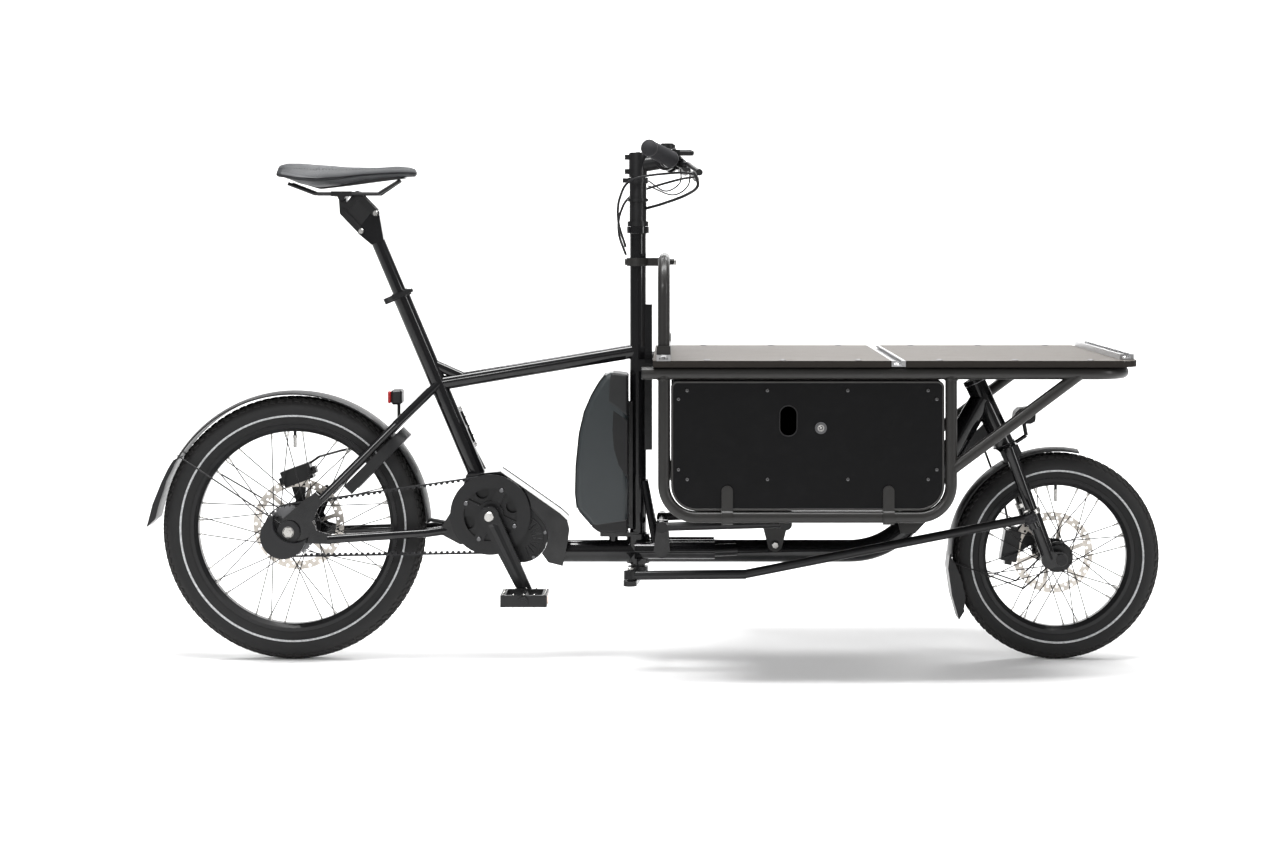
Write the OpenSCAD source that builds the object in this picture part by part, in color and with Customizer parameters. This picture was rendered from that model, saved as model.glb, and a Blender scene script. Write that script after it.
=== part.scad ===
// Long-wheelbase cargo bicycle with a lockable box under a flat cargo deck.
// X forward, Y to the rider's left, Z up, ground at Z = 0, bounding box centred on X and Y.

/* [Wheels] */
// Outer diameter of the rear tyre
rear_tyre_d = 516; // [430:1:620]
// Width of the rear tyre
rear_tyre_w = 55; // [40:1:60]
// Bead seat diameter of the rear rim
rear_bead_d = 406; // [338:1:420]
// Outer diameter of the front tyre
front_tyre_d = 405; // [350:1:486]
// Width of the front tyre
front_tyre_w = 50; // [40:1:60]
// Bead seat diameter of the front rim
front_bead_d = 305; // [254:1:330]
// Distance between the two axles
wheelbase = 1494; // [1245:1:1800]
// Thickness of the brake discs
disc_t = 1.8; // [1.5:0.1:2.3]
// Diameter of the rear brake disc
rear_disc_d = 180; // [150:1:203]
// Diameter of the front brake disc
front_disc_d = 160; // [140:1:192]
// Diameter of the front axle
front_axle_d = 15; // [12:1:18]
// Diameter of the rear axle
rear_axle_d = 10; // [8:0.5:12]

/* [Frame] */
// Outer diameter of the low main tube
main_tube_d = 44; // [36:1:53]
// Height of the low main tube's axis
main_tube_z = 211; // [195:1:240]
// Outer diameter of the vertical steering column tube
column_d = 31.8; // [30:0.1:38.2]
// Diameter of the steering shaft and of the fork's steerer
shaft_d = 28.6; // [23.8:0.1:28.6]
// Outer diameter of the seat tube
seat_tube_d = 34; // [31:0.5:41]
// Length of the seat tube from the crank axis
seat_tube_len = 469; // [430:1:560]
// Angle of the seat tube to the ground
seat_angle = 67; // [64:0.5:72]
// Diameter of the seatpost
seatpost_d = 27.2; // [22.6:0.1:30]
// Head angle of the fork
head_angle = 65; // [62:0.5:70]

/* [Cargo] */
// Width of the cargo deck
deck_w = 560; // [467:1:672]
// Thickness of the deck boards
deck_t = 12; // [9:0.5:15]
// Overhang of the deck in front of the front axle
deck_overhang = 110; // [60:1:150]
// Outer diameter of the deck's rail tube
rail_d = 23.5; // [20:0.5:26]
// Outer diameter of the side loops
loop_d = 22; // [18:0.5:24]
// Height of the axis of the lower side tubes
loop_z = 311; // [290:1:330]
// Height of the hoop above the deck
hoop_h = 194; // [150:1:233]

/* [Drive] */
// Teeth on the front belt ring
ring_teeth = 42; // [39:1:46]
// Teeth on the rear belt sprocket
sprocket_teeth = 28; // [24:1:30]
// Pitch of the belt teeth
belt_pitch = 11; // [10:0.5:12]
// Width of the belt
belt_w = 11; // [9:0.5:12]
// Length of the crank arms
crank_len = 165; // [150:1:175]
// Diameter of the crank spindle
spindle_d = 24; // [20:0.5:28.8]
// Diameter of the pedal axles
pedal_axle_d = 8; // [7:0.5:9.6]

/* [Controls] */
// Overall width of the handlebar with its grips
bar_w = 650; // [560:1:780]
// Diameter of the handlebar
bar_d = 22.2; // [20:0.1:25.4]
// Height of the middle of the handlebar
bar_z = 978; // [940:1:1040]

/* [Hidden] */

// Clearances
run_gap = 0.05;
part_gap = 0.5;
guard_gap = 8;

// Wheels: the bounding box is centred, so the rear flap and the front tyre reach equally far
rear_r = rear_tyre_d / 2;
front_r = front_tyre_d / 2;
guard_t = 2.5;
rear_guard_r = rear_r + guard_gap + guard_t;
front_guard_r = front_r + guard_gap + guard_t;
flap_reach = rear_guard_r + 16.5;
rear_x = (flap_reach - wheelbase - front_r) / 2;
front_x = rear_x + wheelbase;
rear_ax = [rear_x, 0, rear_r];
front_ax = [front_x, 0, front_r];
rear_half_w = 67;
front_half_w = 50;

// Crank axis and seat tube
bb = [rear_x + 388, 0, rear_r + 31];
seat_dir = [-cos(seat_angle), 0, sin(seat_angle)];
function seat_pt(t, across = 0, y = 0) =
    bb + seat_dir * t + across * [sin(seat_angle), 0, cos(seat_angle)] + [0, y, 0];
crank_angle = -64;
crank_end = [crank_len * cos(crank_angle), 0, crank_len * sin(crank_angle)];
belt_y = -50;
ring_r = ring_teeth * belt_pitch / (2 * PI);
sprocket_r = sprocket_teeth * belt_pitch / (2 * PI);

// Steering column: vertical, just behind the deck
column_x = -32;
column_r = column_d / 2;
column_foot = main_tube_z - main_tube_d / 2 - 1;
deck_x0 = 0;

// Fork axis through the front axle, measured by distance along it
fork_dir = [-cos(head_angle), 0, sin(head_angle)];
function fork_pt(t, y = 0) = front_ax + fork_dir * t + [0, y, 0];
crown_t0 = front_guard_r + 2;
crown_t1 = crown_t0 + 24;
head_t0 = crown_t1 + 2;
head_len = 134;
head_t1 = head_t0 + head_len;
head_d = 42;
leg_y = 60;

// Cargo deck, rail and box
deck_bottom = fork_pt(head_t1)[2] + 36 + rail_d / 2 - 1.5;
deck_top = deck_bottom + deck_t;
rail_z = deck_bottom - rail_d / 2;
rail_y = deck_w / 2 - 15;
deck_x1 = front_x + deck_overhang;
rail_x1 = deck_x1 - 20;
loop_x0 = deck_x0 + 20;
loop_x1 = front_x - front_r - 34.5;
loop_bend = 60;
door_gap = 2;
door_t = 8;
door_x0 = loop_x0 + loop_d / 2 + door_gap;
door_x1 = loop_x1 - loop_d / 2 - door_gap;
door_z0 = loop_z + loop_d / 2 + 1;
door_z1 = rail_z - rail_d / 2 - door_gap;
door_y = rail_y - 3;
hinge_x = [door_x0 + 104, door_x1 - 103];
hinge_w = 21;
lock_pos = [door_x0 + 277, (door_z0 + door_z1) / 2 + 33];
slot_pos = [door_x0 + 217, lock_pos[1] + 13];
track_w = 26;
track_h = 11;
track_x = [deck_x0 + 6.5, deck_x0 + 440, deck_x1 - 30];
track_pitch = 25.4;
hoop_y = rail_y - 15;
hoop_d = 22;

// Steering linkage: arm under the column, rod and arm on the fork's right leg
arm_end = [column_x - 13, -140, 184];
rod_end = [front_x - 73, -145, front_r + 91.5];
rod_axis = [0.01355, 0.0781, 1];
rod_d = 18;

// Handlebar
bar_x = 22;
stem_top = bar_z + 14;

module rod(a, b, d, fn = 48) {
    v = b - a;
    len = norm(v);
    translate(a) rotate([0, acos(v[2] / len), atan2(v[1], v[0])]) cylinder(d = d, h = len, $fn = fn);
}
// Bar bent at its inner points, with a ball at each bend
module bent_bar(pts, d, fn = 48) {
    for (i = [0:len(pts) - 2]) rod(pts[i], pts[i + 1], d, fn);
    for (i = [1:len(pts) - 2]) translate(pts[i]) sphere(d = d * 1.03, $fn = fn);
}
// Slimmer bent line: each length runs a little past the bend
module bent_line(pts, d, fn = 48) {
    last = len(pts) - 2;
    for (i = [0:last]) {
        v = (pts[i + 1] - pts[i]) / norm(pts[i + 1] - pts[i]) * d * 0.22;
        rod(pts[i] - (i > 0 ? 1 : 0) * v, pts[i + 1] + (i < last ? 1 : 0) * v,
            d * (i % 2 == 0 ? 1 : 0.95), fn);
    }
}
module y_cyl(x, z, y0, y1, r, fn = 64) {
    translate([x, y0, z]) rotate([-90, 0, 0]) cylinder(r = r, h = y1 - y0, $fn = fn);
}
module y_plate(y0, y1) {
    translate([0, y1, 0]) rotate([90, 0, 0]) linear_extrude(height = y1 - y0) children();
}
module y_spin(p, angle = 360, start = 0, fn = 128) {
    translate(p) rotate([90, 0, 0]) rotate([0, 0, start])
        rotate_extrude(angle = angle, $fn = fn) children();
}
module y_elbow(cx, cz, y, bend_r, d, start, angle) {
    y_spin([cx, y, cz], angle, start, 64) translate([bend_r, 0]) circle(d = d, $fn = 40);
}
module box(a, b) {
    translate(a) cube(b - a);
}
module both_sides() {
    children();
    mirror([0, 1, 0]) children();
}
module bar_shape(a, b, r) {
    v = b - a;
    n = [-v[1], v[0]] / norm(v) * r;
    translate(a) circle(r = r, $fn = 40);
    translate(b) circle(r = r, $fn = 40);
    polygon([a + n, b + n, b - n, a - n]);
}
function arc(cx, cy, r, a0, a1, n = 8) =
    [for (i = [0:n]) [cx + r * cos(a0 + (a1 - a0) * i / n), cy + r * sin(a0 + (a1 - a0) * i / n)]];
// Rectangle with its own radius on the two lower and the two upper corners
function panel(x0, x1, z0, z1, low_r, top_r) = concat(
    arc(x0 + low_r, z0 + low_r, low_r, 180, 270), arc(x1 - low_r, z0 + low_r, low_r, 270, 360),
    arc(x1 - top_r, z1 - top_r, top_r, 0, 90), arc(x0 + top_r, z1 - top_r, top_r, 90, 180));
function xz(p) = [p[0], p[2]];

// ---- Welded frame ----

cradle_w = 84;
module motor_outline(grow = 0) {
    translate(xz(bb)) circle(r = 66 + grow, $fn = 96);
    translate([bb[0] + 60, bb[2] - 45]) circle(r = 50 + grow, $fn = 96);
    polygon([[bb[0] - 20, bb[2] - 62 - grow], [bb[0] + 60, bb[2] - 95 - grow],
        [bb[0] + 98 + grow, bb[2] - 12], [bb[0] + 40, bb[2] + 52 + grow]]);
}
module cradle_outline() {
    polygon([[bb[0] - 103, bb[2] - 37], [bb[0] - 78, bb[2] + 4], [bb[0] - 58, bb[2] + 40],
        [bb[0] - 48, bb[2] + 76], [bb[0] + 17, bb[2] + 82], [bb[0] + 46, bb[2] + 62],
        [bb[0] + 134, bb[2] + 0], [bb[0] + 149, bb[2] - 14], [bb[0] + 153, bb[2] - 30],
        [bb[0] + 150, main_tube_z + 26], [bb[0] + 140, main_tube_z - 24],
        [bb[0] + 112, main_tube_z - 17], [bb[0] + 70, main_tube_z + 40], [bb[0] - 60, bb[2] - 60]]);
}
stay_y = 71;
stay_top = seat_pt(272);
stay_mid = [rear_x + 206, 0, rear_r + 207];
stay_end = [rear_x + 62, 0, rear_r + 62];
chain_end = [rear_x + 74, 0, rear_r - 15];
lower_top_tube = seat_pt(274);
function top_tube_start() = seat_pt(272);
module dropout() {
    y_plate(-stay_y - 3, -stay_y + 3) difference() {
        polygon([[rear_x - 24, rear_r - 8], [rear_x - 14, rear_r + 22], [rear_x + 30, rear_r + 62],
            [rear_x + 52, rear_r + 76], [rear_x + 70, rear_r + 60], [rear_x + 56, rear_r + 44],
            [rear_x + 46, rear_r + 20], [rear_x + 54, rear_r + 2], [rear_x + 82, rear_r - 6],
            [rear_x + 82, rear_r - 24], [rear_x + 30, rear_r - 22], [rear_x, rear_r - 16]]);
        translate(xz(rear_ax)) circle(d = rear_axle_d, $fn = 48);
    }
}
module rear_frame() color([0.02, 0.02, 0.022]) difference() {
    union() {
        rod(seat_pt(58), seat_pt(seat_tube_len), seat_tube_d, 64);
        difference() {
            rod(top_tube_start(), [column_x, 0, deck_bottom + 16], 28);
            translate([column_x, 0, deck_bottom - 60]) cylinder(r = column_r, h = 140, $fn = 96);
        }
        rod(seat_pt(318), top_tube_start() + [56, 0, 9.5], 20);
        both_sides() {
            bent_line([stay_top + [0, -10, 0], stay_mid + [0, -46, 0],
                stay_end + [0, -stay_y, 0]], 17);
            bent_line([bb + [-60, -26, -30], [rear_x + 262, -44, rear_r - 6],
                chain_end + [0, -stay_y, 0]], 18);
            dropout();
        }
        rod(stay_mid + [0, -46, 0], stay_mid + [0, 46, 0], 12);
        y_plate(-cradle_w / 2, cradle_w / 2) difference() {
            cradle_outline();
            motor_outline(0.8);
        }
        rod([bb[0] + 130, 0, main_tube_z], [bb[0] + 170, 0, main_tube_z], main_tube_d, 64);
    }
    rod(seat_pt(230), seat_pt(seat_tube_len + 5), seatpost_d + 2 * run_gap, 96);
    y_plate(-60, 60) motor_outline(0.8);
}

// The low tube runs forward, bends up once and meets the head tube
tube_bend = 150;
tube_rise = 60;
head_meet = fork_pt(head_t1 - 34);
bend_end = [head_meet[0] - (head_meet[2] - main_tube_z - tube_bend * (1 - cos(tube_rise)))
    / tan(tube_rise), 0, main_tube_z + tube_bend * (1 - cos(tube_rise))];
bend_x = bend_end[0] - tube_bend * sin(tube_rise);
bracket_x = loop_x0 + 216;
front_bracket_x = loop_x1 - 76;
module main_tube() color([0.025, 0.025, 0.028]) difference() {
    union() {
        rod([bb[0] + 170, 0, main_tube_z], [bend_x, 0, main_tube_z], main_tube_d, 64);
        y_elbow(bend_x, main_tube_z + tube_bend, 0, tube_bend, main_tube_d, 270, tube_rise);
        rod(bend_end, head_meet, main_tube_d, 64);
        rod(fork_pt(head_t0), fork_pt(head_t1), head_d, 64);
        box([bracket_x - 14, -23.6, main_tube_z + 2], [bracket_x + 14, 23.6, main_tube_z + 30]);
        y_plate(-4, 4) polygon([xz(fork_pt(head_t0 + 12)), xz(fork_pt(head_t0 + 60)),
            xz(bend_end) + [46, 90], xz(bend_end) + [40, 56]]);
    }
    rod(fork_pt(head_t0 - 5), fork_pt(head_t1 + 5), shaft_d + 2 * run_gap, 96);
    translate([column_x, 0, main_tube_z - 60]) cylinder(r = column_r + 7, h = 120, $fn = 96);
    y_cyl(bracket_x, main_tube_z + 16, -40, 40, 4.1, 32);
    fork_space();
}
module fork_space() {
    rod(fork_pt(0), fork_pt(head_t0), head_d + 20, 64);
}

duct_top = deck_bottom + 107;
duct_foot = loop_z + 99;
column_top = bar_z - 130;
module column_tube() color([0.03, 0.03, 0.032]) difference() {
    union() {
        translate([column_x, 0, column_foot]) cylinder(r = column_r, h = column_top - column_foot - 13,
            $fn = 96);
        translate([column_x, 0, column_top - 13]) cylinder(d = 44, h = 13, $fn = 96);
        translate([column_x, 0, column_foot]) cylinder(r = column_r + 7, h = 58, $fn = 96);
        box([column_x + 8, -9, duct_foot], [column_x + column_r + 12, 9, duct_top]);
        both_sides() y_plate(-18, -14) polygon([[column_x, rail_z - 12], [column_x, rail_z + 11],
            [loop_x0 - rail_d / 2 - 0.3, rail_z + 11], [loop_x0 - rail_d / 2 - 0.3, rail_z - 12]]);
        difference() {
            both_sides() side_tubes();
            rod([column_x - 40, 0, main_tube_z], [column_x + 260, 0, main_tube_z],
                main_tube_d + 0.1, 64);
        }
        battery_mount();
    }
    translate([column_x, 0, column_foot - 5]) cylinder(d = shaft_d + 2 * run_gap,
        h = column_top, $fn = 96);
    y_cyl(stand_x, stand_z, -90, 90, 6 + run_gap, 48);
}
module side_tubes() {
    z = main_tube_z + 6;
    rod([column_x - 6, -37, z], [column_x + 150, -37, z], 33);
    rod([column_x + 146, -37, z], [column_x + 192, -25, z], 24);
    rod([column_x + 36, -37, z + 9], [column_x + 12, -12, z + 132], 15);
    y_plate(-62, -55) polygon([[stand_x - 16, z], [stand_x + 16, z],
        [stand_x + 11, stand_z + 11], [stand_x - 9, stand_z + 11]]);
    y_cyl(stand_x, z, -58.5, -45, 12.5, 48);
}

// ---- Cargo frame ----

module deck_rail() color([0.2, 0.19, 0.185]) {
    bend = 60;
    both_sides() {
        rod([-20, -rail_y, rail_z], [rail_x1 - bend, -rail_y, rail_z], rail_d, 64);
        translate([rail_x1 - bend, -rail_y + bend, rail_z]) rotate([0, 0, -90])
            rotate_extrude(angle = 90, $fn = 64) translate([bend, 0]) circle(d = rail_d, $fn = 48);
    }
    rod([rail_x1, -rail_y + bend, rail_z], [rail_x1, rail_y - bend, rail_z], rail_d, 64);
    for (x = [loop_x0, loop_x1]) rod([x, -rail_y, rail_z], [x, rail_y, rail_z], rail_d, 64);
}
module rail_space() {
    rod([-30, -rail_y, rail_z], [rail_x1 - 60, -rail_y, rail_z], rail_d, 64);
}
module side_frames() color([0.17, 0.165, 0.16]) {
    difference() {
        union() {
            both_sides() {
                rod([loop_x0, -rail_y, loop_z + loop_bend], [loop_x0, -rail_y, rail_z], loop_d);
                y_elbow(loop_x0 + loop_bend, loop_z + loop_bend, -rail_y, loop_bend, loop_d, 180, 90);
                rod([loop_x0 + loop_bend, -rail_y, loop_z], [loop_x1 - loop_bend, -rail_y, loop_z], loop_d);
                y_elbow(loop_x1 - loop_bend, loop_z + loop_bend, -rail_y, loop_bend, loop_d, 270, 90);
                rod([loop_x1, -rail_y, loop_z + loop_bend], [loop_x1, -rail_y, rail_z], loop_d);
                rod([loop_x1 + 4, -rail_y, loop_z + 90], [loop_x1 + 240, -rail_y, rail_z], loop_d);
            }
            for (x = [bracket_x, front_bracket_x])
                rod([x, -rail_y, loop_z - 3], [x, rail_y, loop_z - 3], 16);
            both_sides() {
                y_plate(-30, -24) difference() {
                    union() {
                        translate([bracket_x, main_tube_z + 16]) circle(r = 14, $fn = 48);
                        polygon([[bracket_x - 36, loop_z - 3], [bracket_x + 36, loop_z - 3],
                            [bracket_x + 13, main_tube_z + 10], [bracket_x - 13, main_tube_z + 10]]);
                    }
                    translate([bracket_x, main_tube_z + 16]) circle(r = 4.1, $fn = 32);
                }
                y_plate(-30, -24) polygon([[front_bracket_x - 8, loop_z - 3], [front_bracket_x + 62, loop_z - 9],
                    [front_bracket_x + 66, loop_z - 28], [front_bracket_x + 34, loop_z - 62],
                    [front_bracket_x + 6, loop_z - 62]]);
                y_cyl(bracket_x, main_tube_z + 16, -36, -30, 7, 32);
            }
            y_cyl(bracket_x, main_tube_z + 16, -36, 36, 4, 32);
        }
        both_sides() rail_space();
    }
}

module deck_outline(x0, x1, round_r) {
    y = deck_w / 2;
    polygon(concat([[x0, y], [x0, -y]], arc(x1 - round_r, -y + round_r, round_r, 270, 360),
        arc(x1 - round_r, y - round_r, round_r, 0, 90)));
}
// Both boards have a shallow seat for each track that stands on them
track_seat = 0.6;
module deck_boards() color([0.32, 0.28, 0.25]) difference() {
    union() {
        translate([0, 0, deck_bottom]) linear_extrude(deck_t)
            deck_outline(deck_x0, track_x[1] - 0.5, 1);
        translate([0, 0, deck_bottom]) linear_extrude(deck_t)
            deck_outline(track_x[1] + track_w + 0.5, deck_x1, 40);
    }
    for (x = [track_x[0], track_x[2]])
        box([x - 0.3, -deck_w, deck_top - track_seat], [x + track_w + 0.3, deck_w, deck_top + 5]);
}
// Airline-type lashing track: a T-slot opened by round holes
module lashing_track(x, z, half_len) {
    holes = floor(2 * half_len / track_pitch);
    translate([x + track_w / 2, 0, z]) difference() {
        translate([-track_w / 2, -half_len, 0]) cube([track_w, 2 * half_len, track_h]);
        translate([-8.5, -half_len - 1, 3]) cube([17, 2 * half_len + 2, 4]);
        translate([-5.3, -half_len - 1, 3]) cube([10.6, 2 * half_len + 2, 10]);
        for (i = [0:holes - 1]) translate([0, (i - (holes - 1) / 2) * track_pitch, 3])
            cylinder(d = 19.8, h = 20, $fn = 48);
    }
}
module lashing_tracks() color([0.75, 0.75, 0.76]) {
    lashing_track(track_x[0], deck_top - track_seat, deck_w / 2 - 2);
    lashing_track(track_x[1], deck_top - track_h, deck_w / 2 - 1);
    lashing_track(track_x[2], deck_top - track_seat, deck_w / 2 - 40);
}

module hoop() {
    top_z = deck_top + hoop_h - hoop_d / 2;
    foot_z = deck_top - track_seat + track_h;
    bend = 60;
    hoop_x = track_x[0] + track_w / 2;
    color([0.2, 0.19, 0.185]) {
        both_sides() {
            rod([hoop_x, -hoop_y, foot_z + 6], [hoop_x, -hoop_y, top_z - bend], hoop_d);
            translate([hoop_x, -hoop_y + bend, top_z - bend]) rotate([90, 0, -90])
                rotate_extrude(angle = 90, $fn = 64) translate([bend, 0]) circle(d = hoop_d, $fn = 48);
            box([hoop_x - 13, -hoop_y - 17, foot_z], [hoop_x + 13, -hoop_y + 17, foot_z + 16]);
        }
        rod([hoop_x, -hoop_y + bend, top_z], [hoop_x, hoop_y - bend, top_z], hoop_d);
    }
    clamp_z = top_z - 5;
    color([0.05, 0.05, 0.055]) difference() {
        union() {
            translate([column_x, 0, clamp_z - 8]) cylinder(r = column_r + 6.5, h = 16, $fn = 64);
            box([column_x, -11, clamp_z - 8], [hoop_x + 5, 11, clamp_z + 8]);
            rod([hoop_x, 0, clamp_z], [hoop_x + 19, 0, clamp_z], 12);
            rod([column_x - 26, 0, clamp_z], [column_x, 0, clamp_z], 13);
        }
        translate([column_x, 0, clamp_z - 10]) cylinder(r = column_r, h = 20, $fn = 96);
    }
}

box_wall = 6;
module box_shell() color([0.04, 0.04, 0.042]) {
    inset = 6;
    half = rail_y - 18;
    difference() {
        y_plate(-half, half) difference() {
            polygon(panel(door_x0 - 2 + inset, door_x1 + 2 - inset, door_z0 + 2, door_z1, 50, 4));
            polygon(panel(door_x0 - 2 + inset + box_wall, door_x1 + 2 - inset - box_wall,
                door_z0 + 2 + box_wall, door_z1 + 20, 44, 4));
        }
        rod(bend_end, head_meet, main_tube_d + 2, 48);
    }
}
module door_right() color([0.03, 0.03, 0.032])
    y_plate(-door_y - door_t, -door_y) difference() {
        polygon(panel(door_x0, door_x1, door_z0, door_z1, loop_bend - 13, 12));
        bar_shape(slot_pos + [0, -12], slot_pos + [0, 12], 16);
        translate(lock_pos) circle(r = 8.5 + run_gap, $fn = 48);
    }
module door_left() mirror([0, 1, 0]) door_right();

screw_spots = concat(
    [for (i = [0:3]) for (z = [door_z1 - 18, door_z0 + 58])
        [door_x0 + 30 + i * (door_x1 - door_x0 - 60) / 3, z]],
    [for (x = [door_x0 + 14, door_x1 - 14]) for (z = [door_z1 - 34, door_z0 + 76]) [x, z]]);
module door_hardware_right() color([0.24, 0.235, 0.23]) {
    outer_y = -door_y - door_t;
    for (x = hinge_x) difference() {
        union() {
            y_plate(outer_y - 3.5, outer_y) {
                translate([x - hinge_w / 2, loop_z - 6]) square([hinge_w, 54]);
                translate([x, loop_z + 48]) circle(d = hinge_w, $fn = 48);
            }
            rod([x - hinge_w / 2, -rail_y, loop_z], [x + hinge_w / 2, -rail_y, loop_z],
                loop_d + 7, 64);
        }
        rod([x - hinge_w, -rail_y, loop_z], [x + hinge_w, -rail_y, loop_z],
            loop_d + 2 * run_gap, 64);
        box([x - 20, -door_y - door_t, door_z0 - 0.1], [x + 20, -door_y + 20, door_z1]);
    }
    for (p = screw_spots) y_cyl(p[0], p[1], outer_y - 1.6, outer_y, 3.4, 24);
}
module door_hardware_left() mirror([0, 1, 0]) door_hardware_right();
module cam_lock_right() color([0.7, 0.7, 0.7]) {
    outer_y = -door_y - door_t;
    difference() {
        y_cyl(lock_pos[0], lock_pos[1], outer_y - 3, -door_y + 2, 8.5, 48);
        box([lock_pos[0] - 0.8, outer_y - 4, lock_pos[1] - 3.5],
            [lock_pos[0] + 0.8, outer_y - 1, lock_pos[1] + 3.5]);
    }
    y_cyl(lock_pos[0], lock_pos[1], outer_y - 2.2, outer_y - part_gap, 11, 48);
    y_plate(-door_y + 2, -door_y + 5) bar_shape(lock_pos, lock_pos + [0, 24], 7);
}
module cam_lock_left() mirror([0, 1, 0]) cam_lock_right();

// ---- Drive, battery and rear fittings ----

module motor_housing() color([0.03, 0.03, 0.033]) difference() {
    union() {
        y_plate(-40, 40) motor_outline(0);
        y_cyl(bb[0], bb[2], -42.5, 42.5, 24);
        y_cyl(bb[0] + 60, bb[2] - 45, -43, 43, 42, 96);
    }
    y_cyl(bb[0], bb[2], -60, 60, spindle_d / 2 + run_gap, 96);
}

battery_front = column_x - column_r - 2.2;
battery_z0 = main_tube_z + 39;
battery_z1 = battery_z0 + 315;
battery_w = 90;
function battery_outline(top, inset = 0) = [
    [battery_front, battery_z0], [battery_front - 57, battery_z0 + 10],
    [battery_front - 101, battery_z0 + 52], [battery_front - 106, battery_z0 + 124],
    [battery_front - 103, battery_z0 + 175], [battery_front - 96, battery_z0 + 222],
    [battery_front - 84, battery_z0 + 257], [battery_front - 70, battery_z0 + 282],
    [battery_front - 34, top], [battery_front, top - 9]];
module battery_case() color([0.13, 0.15, 0.15]) difference() {
    union() {
        y_plate(-battery_w / 2, battery_w / 2)
            polygon([for (p = battery_outline(battery_z1)) [p[0], p[1]]]);
    }
    box([battery_front - 9, -12.3, battery_z0 - 1], [battery_front + 1, 12.3, battery_z0 + 262]);
}
module battery_mount() {
    box([battery_front - 8.5, -12, battery_z0 + 6], [column_x, 12, battery_z0 + 256]);
    box([battery_front - 56, -18, battery_z0 - 9], [column_x, 18, battery_z0 - part_gap]);
    translate([battery_front - 30, 0, main_tube_z + main_tube_d / 2 - 5])
        cylinder(d = 18, h = battery_z0 - main_tube_z - main_tube_d / 2, $fn = 48);
}

module guard_section(r, half_w, crown = 4.5) {
    n = 8;
    outer = [for (i = [-n:n]) [r - crown * pow(i / n, 2), i / n * half_w]];
    inner = [for (i = [n:-1:-n]) [r - guard_t - crown * pow(i / n, 2), i / n * half_w]];
    polygon(concat(outer, inner));
}
module wire_stay(a, b) {
    rod(a, b, 3, 24);
}
module rear_mudguard() color([0.04, 0.04, 0.042]) {
    half = rear_tyre_w / 2 + 3.5;
    g = rear_guard_r;
    y_spin(rear_ax, 146.5, 2.5) guard_section(g, half);
    y_plate(-half, half) polygon([for (p = [[149, g - 3], [150, g], [154, g + 1.5],
        [160, g + 3], [170, g + 9], [179.4, flap_reach / cos(0.6)], [176, g + 0],
        [170, g - 3.5], [160, g - 5], [152, g - 6], [149, g - 6]])
        [rear_x + p[1] * cos(p[0]), rear_r + p[1] * sin(p[0])]]);
    stay_at = [rear_x + (g - 2) * cos(147.5), 0, rear_r + (g - 2) * sin(147.5)];
    both_sides() {
        wire_stay(stay_at + [0, -half + 1, 0], [rear_x - 14, -stay_y + 5, rear_r + 12]);
    }
    rod([stay_mid[0], 0, stay_mid[2] - 3], rear_ax + [(g - 3) * cos(45), 0, (g - 3) * sin(45)], 10);
    rod([rear_x + g - 2, 0, rear_r + 14], [bb[0] - 84, 0, bb[2] - 24], 8);
}

module rear_light() {
    base = stay_mid + [-2, 0, 3];
    color([0.1, 0.1, 0.1]) {
        rod(base, base + [0, 0, 33], 7);
        box(base + [-14, -22, 31], base + [8, 22, 61]);
    }
    color([0.5, 0.03, 0.04]) box(base + [-20, -20, 33], base + [-14, 20, 59]);
}

// Horseshoe lock below the seat stays
module ring_lock() color([0.03, 0.03, 0.032]) {
    half_in = rear_tyre_w / 2 + 12;
    reach = 98;
    difference() {
        translate(stay_end + [36, 0, 30]) rotate([0, -45.2, 0]) translate([0, 0, -30]) {
            difference() {
                union() {
                    translate([reach, 0, 0]) cylinder(r = half_in + 18, h = 22, $fn = 96);
                    translate([0, -half_in - 18, 0]) cube([reach, 2 * half_in + 36, 22]);
                }
                translate([reach, 0, -1]) cylinder(r = half_in, h = 24, $fn = 96);
                translate([-20, -half_in, -1]) cube([reach + 20, 2 * half_in, 24]);
            }
            for (s = [-1, 1]) translate([78, s * (half_in + 11), 20]) cylinder(r = 4, h = 8, $fn = 32);
        }
        y_cyl(rear_x, rear_r, 4 - half_in, half_in - 4, rear_guard_r + 2, 180);
    }
}

module caliper(p, tilt) {
    translate(p) rotate([0, tilt, 0]) difference() {
        union() {
            translate([-30, -14.5, -16]) cube([60, 32.5, 32]);
            translate([-38, -6, -9]) cube([76, 22, 14]);
        }
        translate([-60, -2.2, -60]) cube([120, 4.4, 62]);
    }
}
rear_disc_y = 46;
module rear_brake() color([0.03, 0.03, 0.032]) {
    p = rear_ax + [-2, rear_disc_y, rear_disc_d / 2 + 8];
    caliper(p, -20);
    y_plate(rear_disc_y + 8, rear_disc_y + 18) polygon([[rear_x - 6, rear_r + 40], [rear_x + 10, rear_r + 40],
        [rear_x + 14, rear_r + rear_disc_d / 2 + 4], [rear_x - 20, rear_r + rear_disc_d / 2 - 4]]);
    y_plate(rear_disc_y + 12, stay_y - 3) polygon([[rear_x - 6, rear_r + 24], [rear_x + 16, rear_r + 34],
        [rear_x + 14, rear_r + 52], [rear_x - 6, rear_r + 48]]);
    bent_line([p + [12, 8, 14], p + [40, 14, 34], p + [84, 16, 46],
        stay_mid + [-60, 66, -50], stay_mid + [-14, 54, -2], stay_top + [-24, 26, -12],
        stay_top + [-6, 24, -14]], 5, 12);
}

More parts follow.
